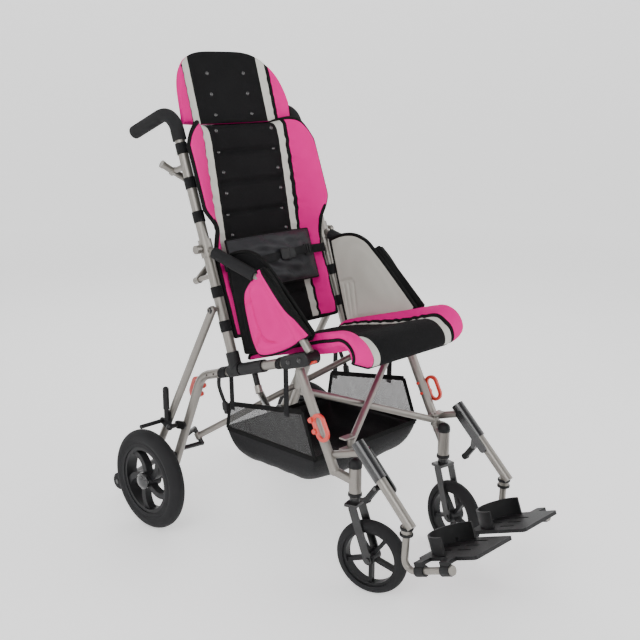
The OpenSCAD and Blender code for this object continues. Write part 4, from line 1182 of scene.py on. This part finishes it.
@dataclass
class Basket:
    """Basket under the seat: a sagging black tub, net sides up to the rails, bindings and straps.

    tub_cut and net_cut are the cloth's length and width before sewing, in metres, and the areas are what is
    left of it in square metres after its corners are cut. Nothing in the script reads these four sizes.
    """

    half: float = 205.0
    rear: float = -206.0
    front: float = -546.0
    rim: float = 322.0
    depth: float = 94.0
    net_rear: tuple = (-218.0, 396.0)
    net_front: tuple = (-500.0, 440.0)
    strap_at: tuple = (-230.0, -444.0)
    tub_cut: tuple = (0.538, 0.459)
    tub_area: float = 0.232
    net_cut: tuple = (0.340, 0.118)
    net_area: float = 0.0302
    tub_wall: float = 0.0012
    net_wall: float = 0.0006
    wrinkles: tuple = (1.6, 1.1)
    belly: float = 6.0
    net_slack: tuple = (3.0, 0.6)
    strap_radius: float = 14.6
    strap_x: tuple = (209.6, 208.4, 206.5)
    binding: tuple = (14.0, 3.2)
    edge_binding: tuple = (12.0, 3.0)
    strap: tuple = (18.0, 2.0)

    def net_top(self, y: Array) -> Array:
        """Height of the net's top edge."""
        share = (y - self.net_rear[0]) / (self.net_front[0] - self.net_rear[0])
        return self.net_rear[1] + (self.net_front[1] - self.net_rear[1]) * share

    def build(self) -> None:
        """Builds the tub, the nets, the bindings and the straps."""
        t, u = np.meshgrid(np.linspace(0, 1, 70), np.linspace(-1, 1, 90), indexing="ij")
        turn = (u + 1) * np.pi / 2
        c, s = np.cos(turn), np.sin(turn)
        x = self.half * signed_power(c, 0.4)
        deep = self.depth * np.clip(1 - np.abs(2 * t - 1) ** 7, 0, 1) ** 0.6
        long, short = self.wrinkles
        wrinkle = (long * np.sin(x * 0.05 + 9 * t) + short * np.sin(34 * t + x * 0.02)) * s
        z = self.rim - deep * np.abs(s) ** 0.5 + wrinkle
        y = self.rear + (self.front - self.rear) * t + self.belly * np.sin(np.pi * t) * s
        tub = add_piece("basket_tub", np.stack([x, y, z], -1), cells(70, 90).tolist(), [TUB])
        self.thicken(tub, self.tub_wall)
        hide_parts("basket")
        soft(tub)
        for sign in (-1, 1):
            self.net(sign)
        self.bindings()
        self.straps()

    def thicken(self, piece: bpy.types.Object, thick: float) -> None:
        """Gives a sheet its thickness.

        Args:
            piece: The sheet.
            thick: Its thickness in metres.
        """
        wall = piece.modifiers.new("wall", "SOLIDIFY")
        wall.thickness = thick
        wall.offset = 0

    def net(self, sign: int) -> None:
        """Net on one side, from the tub's rim up to its top binding, with a slack belly.

        Args:
            sign: 1 for the left net, -1 for the right one.
        """
        k, v = np.meshgrid(np.linspace(0, 1, 60), np.linspace(0, 1, 24), indexing="ij")
        low_y = self.rear + (self.front - self.rear) * k
        top_y = self.net_rear[0] + (self.net_front[0] - self.net_rear[0]) * k
        y = low_y + (top_y - low_y) * v
        z = self.rim + (self.net_top(top_y) - self.rim) * v
        deep, ripple = self.net_slack
        slack = deep * np.sin(np.pi * v) * np.sin(np.pi * k)
        x = sign * (self.half - slack - ripple * np.sin(40 * k + 7 * v))
        name = "basket_net_left" if sign > 0 else "basket_net_right"
        made = add_piece(name, np.stack([x, y, z], -1), cells(60, 24).tolist(), [NET])
        self.thicken(made, self.net_wall)
        soft(made)

    def bindings(self) -> None:
        """Bindings along the rim, the nets' tops and their ends."""
        k = np.linspace(0, 1, 50)
        wide, narrow = strap_outline(*self.binding), strap_outline(*self.edge_binding)
        parts = []
        for sign in (-1, 1):
            for low in (True, False):
                a, b = (self.rear, self.front) if low else (self.net_rear[0], self.net_front[0])
                y = a + (b - a) * k
                z = np.full_like(y, self.rim) if low else self.net_top(y)
                path = np.stack([np.full_like(y, sign * self.half), y, z], -1)
                parts.append(sweep(path, (0, 0, 1), wide))
            for y, top in ((self.rear, self.net_rear), (self.front, self.net_front)):
                path = smooth_path([(sign * self.half, y, self.rim), (sign * self.half, *top)], 16)
                parts.append(sweep(path, (0, 1, 0.1), narrow))
        x = np.linspace(-self.half, self.half, 40)
        for y in (self.rear, self.front):
            path = np.stack([x, np.full_like(x, y), np.full_like(x, self.rim)], -1)
            parts.append(sweep(path, (0, 0, 1), wide))
        soft(add_piece("basket_binding", *gather(parts), [BINDING]))

    def straps(self) -> None:
        """Straps that hang from loops round the rails."""
        outline = strap_outline(*self.strap)
        parts = []
        for sign in (-1, 1):
            for y in self.strap_at:
                _, z = LINES.over_rail((y - LINES.corner[0]) / LINES.rail_way[0], 0.0)
                loop = rail_loop(sign, y, z, (-self.strap_radius, self.strap_radius / RAIL_COS), 40)
                parts.append(sweep(loop, RAIL_LEVEL, outline, closed=True))
                end = float(self.net_top(np.array(y))) - 16
                levels = (z - 2, z - 45, end)
                hang = smooth_path([(sign * x, y, level) for x, level in zip(self.strap_x, levels)], 20)
                parts.append(sweep(hang, (0, 1, 0), outline))
        soft(add_piece("basket_straps", *gather(parts), [WEBBING]))


# Trim and hardware

# Profiles of turned fittings: radius and height along the axis
HUB_CAP = np.array([[0, 12.5], [8, 11.8], [15, 9.5], [19, 6.5], [20, 5.0], [22.5, 4.6], [24.5, 2.6], [25, 0],
                    [25, -3], [0, -3]])
BARREL_CAP = np.array([[0, 17], [5, 16.4], [10, 14.2], [14, 10.4], [16.6, 5.6], [17.4, 0], [17.4, -8],
                       [16.2, -8.6], [16.2, -6], [15.4, -6], [15.4, 4], [0, 14.8]])
BARREL_RING = np.array([[16.05, 9], [17.6, 8.4], [18, 6], [18, 0.6], [17.4, 0], [16.05, 0], [16.05, 9]])
COLLAR_RING = np.array([[14.05, 3.4], [16.4, 3.0], [17.0, 1.6], [17.0, -1.6], [16.4, -3.0], [14.05, -3.4],
                        [14.05, 3.4]])
BOLT_HEAD = np.array([[0, 4.6], [3.0, 4.3], [5.4, 3.0], [6.6, 1.0], [6.8, 0], [8.6, -0.2], [9.2, -0.8],
                      [9.2, -2.0], [0, -2.0]])
BOLT_SPOTS = ((266.5, -212, 670), (266.9, 52, 205), (251.0, -13, 192), (242.0, -487, 578), (242.0, -526, 591),
              (276.6, -28, 296))


@dataclass
class SideTrim:
    """Small fittings of one side: caps, rings, bolts, tabs and straps."""

    side: Side
    hub: tuple = (352.0, 0.0, 146.0)
    barrel: tuple = (182, -665)
    foot_top: tuple = (-690 - 0.719999 * 226, 407 - 0.693975 * 226)
    foot_low: tuple = (-846.0, 118.0)
    foot_x: float = 204.0

    def at(self, x: float, y: float, z: float) -> Array:
        """A point on this side."""
        return np.array([self.side.value * x, y, z])

    def piece(self, name: str, shape: tuple, finish: Finish, body: str) -> None:
        """Adds a piece that rides on one of this side's bodies."""
        made = add_piece(f"{self.side.name.lower()}_{name}", *shape, [finish])
        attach(made, self.side.body(body))

    def build(self) -> None:
        """Builds every fitting of this side."""
        out, up = self.at(1.0, 0.0, 0.0), (0, 0, 1)
        self.piece("hub_cap", turned(HUB_CAP, self.at(*self.hub), out, 40), GLOSS, "rear_wheel")
        self.piece("barrel_cap", turned(BARREL_CAP, self.at(*self.barrel, 337), up, 32), NYLON, "frame")
        self.piece("barrel_ring", turned(BARREL_RING, self.at(*self.barrel, 253), up, 32), NYLON, "frame")
        self.collar()
        self.bolts()
        self.straps()

    def collar(self) -> None:
        """Black rings above and below the silver collar of the foot tube."""
        top = np.array(self.foot_top)
        down = unit(np.array(self.foot_low) - top)
        shapes = [turned(COLLAR_RING, self.at(self.foot_x, *(top + down * d)), (0, *down), 32)
                  for d in (15.6, 32.4)]
        self.piece("collar_rings", gather(shapes), NYLON, "footrest")

    def bolts(self) -> None:
        """Domed bolt heads where the frame is bolted together."""
        spots = np.array([self.at(*spot) for spot in BOLT_SPOTS])
        shapes = turned(BOLT_HEAD, spots, np.tile(self.at(1.0, 0.0, 0.0), (len(spots), 1)), 20)
        self.piece("bolt_heads", shapes, BLACK_PAINT, "frame")
        along, up = (0, -RAIL_COS, RAIL_SIN), (0, RAIL_SIN, RAIL_COS)
        tab = gather([block(self.at(RAIL_X, -560, 590), (9, 5, 3.4), along, up, 0.4),
                      block(self.at(RAIL_X, -549, 588), (6, 7, 6), along, up, 0.5)])
        self.piece("release_tab", tab, RED, "frame")

    def straps(self) -> None:
        """Pull strap with its clip below the rail, and the loop round the rail that holds it."""
        spots = ((241.5, -216, 478), (243, -218, 455), (243.5, -232, 428), (243, -242, 412))
        hang = smooth_path([self.at(*spot) for spot in spots], 24)
        wrap = rail_loop(self.side.value, *LINES.over_rail(98.0, 0.0), (14.8, 15.4), 36)
        shapes = gather([sweep(hang, (0, 1, 0.2), strap_outline(15, 2.2)),
                         sweep(wrap, RAIL_LEVEL, strap_outline(16, 2.0), closed=True)])
        self.piece("pull_strap", shapes, WEBBING, "frame")
        clip = gather([block(self.at(243, -243, 404), (6, 9, 13), (1, 0, 0), (0, 0.2, 1), 0.45),
                       block(self.at(243, -245, 390), (4, 6, 8), (1, 0, 0), (0, 0.2, 1), 0.6)])
        self.piece("pull_clip", clip, NYLON, "frame")


# Finishes of the CAD nodes, camera and light

NODE_FINISH = {
    "side_tube": SILVER, "rear_bracket": BLACK_PAINT, "front_leg": SILVER, "back_post": SILVER,
    "rear_strut": SILVER, "foam_sleeves": FOAM, "arm_tube": SILVER, "tie_downs": RED, "fittings": NYLON,
    "post_bands": WEBBING, "rear_tyre": RUBBER, "rear_rim": RIM, "caster_fork": BLACK_PAINT,
    "caster_tyre": RUBBER, "caster_rim": RIM, "wheel_lock": NYLON, "hanger": GLOSS, "foot_tube": SILVER,
    "footplate": NYLON, "latch_lever": NYLON, "front_cross": SILVER, "back_cross": SILVER,
    "rear_cross": SILVER, "rail_sleeve": NYLON, "anti_tip": BLACK_PAINT, "anti_tip_wheel": RUBBER,
}


def dress_nodes() -> None:
    """Gives every CAD node that stays in view its finish."""
    for name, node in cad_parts.items():
        finish = NODE_FINISH.get(name.removeprefix("left_").removeprefix("right_"))
        if finish:
            node.data.materials.clear()
            node.data.materials.append(finish.material())


@dataclass(frozen=True)
class Studio:
    """Camera at the photograph's angle, soft boxes and a pale floor.

    Lamps have a name, a place, a size and a power, and look at aim. The floor runs level out to the radius
    flat, then bends up with the radius bend into a wall as high as wall.
    """

    eye: tuple = (-1.959, -1.865, 1.303)
    turn: tuple = (75.98, -0.2, -46.03)
    lens: float = 57.2
    sensor: float = 36.0
    lamps: tuple = (("key", (-2.6, -1.4, 2.9), 2.2, 56.0), ("fill", (1.6, -2.6, 1.9), 2.4, 24.0),
                    ("top", (0.2, 0.4, 3.4), 2.6, 24.0), ("rim", (1.8, 2.2, 2.2), 1.8, 20.0))
    aim: tuple = (0.0, 0.0, 0.6)
    sky: float = 0.3
    flat: float = 6.0
    bend: float = 2.5
    wall: float = 7.0
    centre: float = 0.0001
    sunk: float = 0.0005
    glow: float = 0.55

    def build(self) -> None:
        """Builds the camera, the light and the floor."""
        lens = bpy.data.cameras.new("camera")
        lens.lens = self.lens
        lens.sensor_width = self.sensor
        camera = bpy.data.objects.new("camera", lens)
        camera.location = self.eye
        camera.rotation_euler = [math.radians(a) for a in self.turn]
        bpy.context.scene.collection.objects.link(camera)
        bpy.context.scene.camera = camera
        for name, place, size, power in self.lamps:
            lamp = bpy.data.lights.new(name, "AREA")
            lamp.energy = power
            lamp.size = size
            made = bpy.data.objects.new(name, lamp)
            made.location = place
            x, y, z = np.array(self.aim) - np.array(place)
            made.rotation_euler = (math.atan2(math.hypot(x, y), -z), 0.0, math.atan2(x, -y) + math.pi)
            bpy.context.scene.collection.objects.link(made)
        self.floor()
        world = bpy.data.worlds.new("studio")
        bpy.context.scene.world = world
        world.use_nodes = True
        shade = world.node_tree.nodes["Background"].inputs
        shade["Color"].default_value = (1, 1, 1, 1)
        shade["Strength"].default_value = self.sky

    def floor(self) -> None:
        """Pale floor that curves up into a round wall, so that no view meets an edge."""
        turn = np.linspace(0, np.pi / 2, 20)
        reach = self.flat + self.bend
        radius = np.concatenate([[self.centre], self.flat + self.bend * np.sin(turn), [reach]])
        rise = np.concatenate([[0.0], self.bend - self.bend * np.cos(turn), [self.wall]]) - self.sunk
        around = np.linspace(0, 2 * np.pi, 72, endpoint=False)
        around, k = np.meshgrid(around, np.arange(len(radius)), indexing="ij")
        points = np.stack([radius[k] * np.cos(around), radius[k] * np.sin(around), rise[k]], -1)
        mesh = bpy.data.meshes.new("floor")
        mesh.from_pydata(points.reshape(-1, 3).tolist(), [], cells(72, len(radius), wrap_rows=True).tolist())
        mesh.polygons.foreach_set("use_smooth", np.ones(len(mesh.polygons), bool))
        plain = bpy.data.materials.new("pale_floor")
        plain.use_nodes = True
        shader = plain.node_tree.nodes["Principled BSDF"]
        for key, value in (("Base Color", (0.92, 0.92, 0.92, 1)), ("Roughness", 0.8),
                           ("Emission Color", (1, 1, 1, 1)), ("Emission Strength", self.glow)):
            shader.inputs[key].default_value = value
        mesh.materials.append(plain)
        made = bpy.data.objects.new("floor", mesh)
        bpy.context.scene.collection.objects.link(made)


def main() -> None:
    """Builds the scene."""
    logging.basicConfig(level=logging.INFO, format="%(message)s")
    Studio().build()
    dress_nodes()
    back = BackCushion()
    for part in (back, HeadCushion(), SeatCushion(), LapPad(back), Basket()):
        part.build()
    for side in Side:
        SidePanel(side).build()
        SideTrim(side).build()


if __name__ == "__main__":
    main()
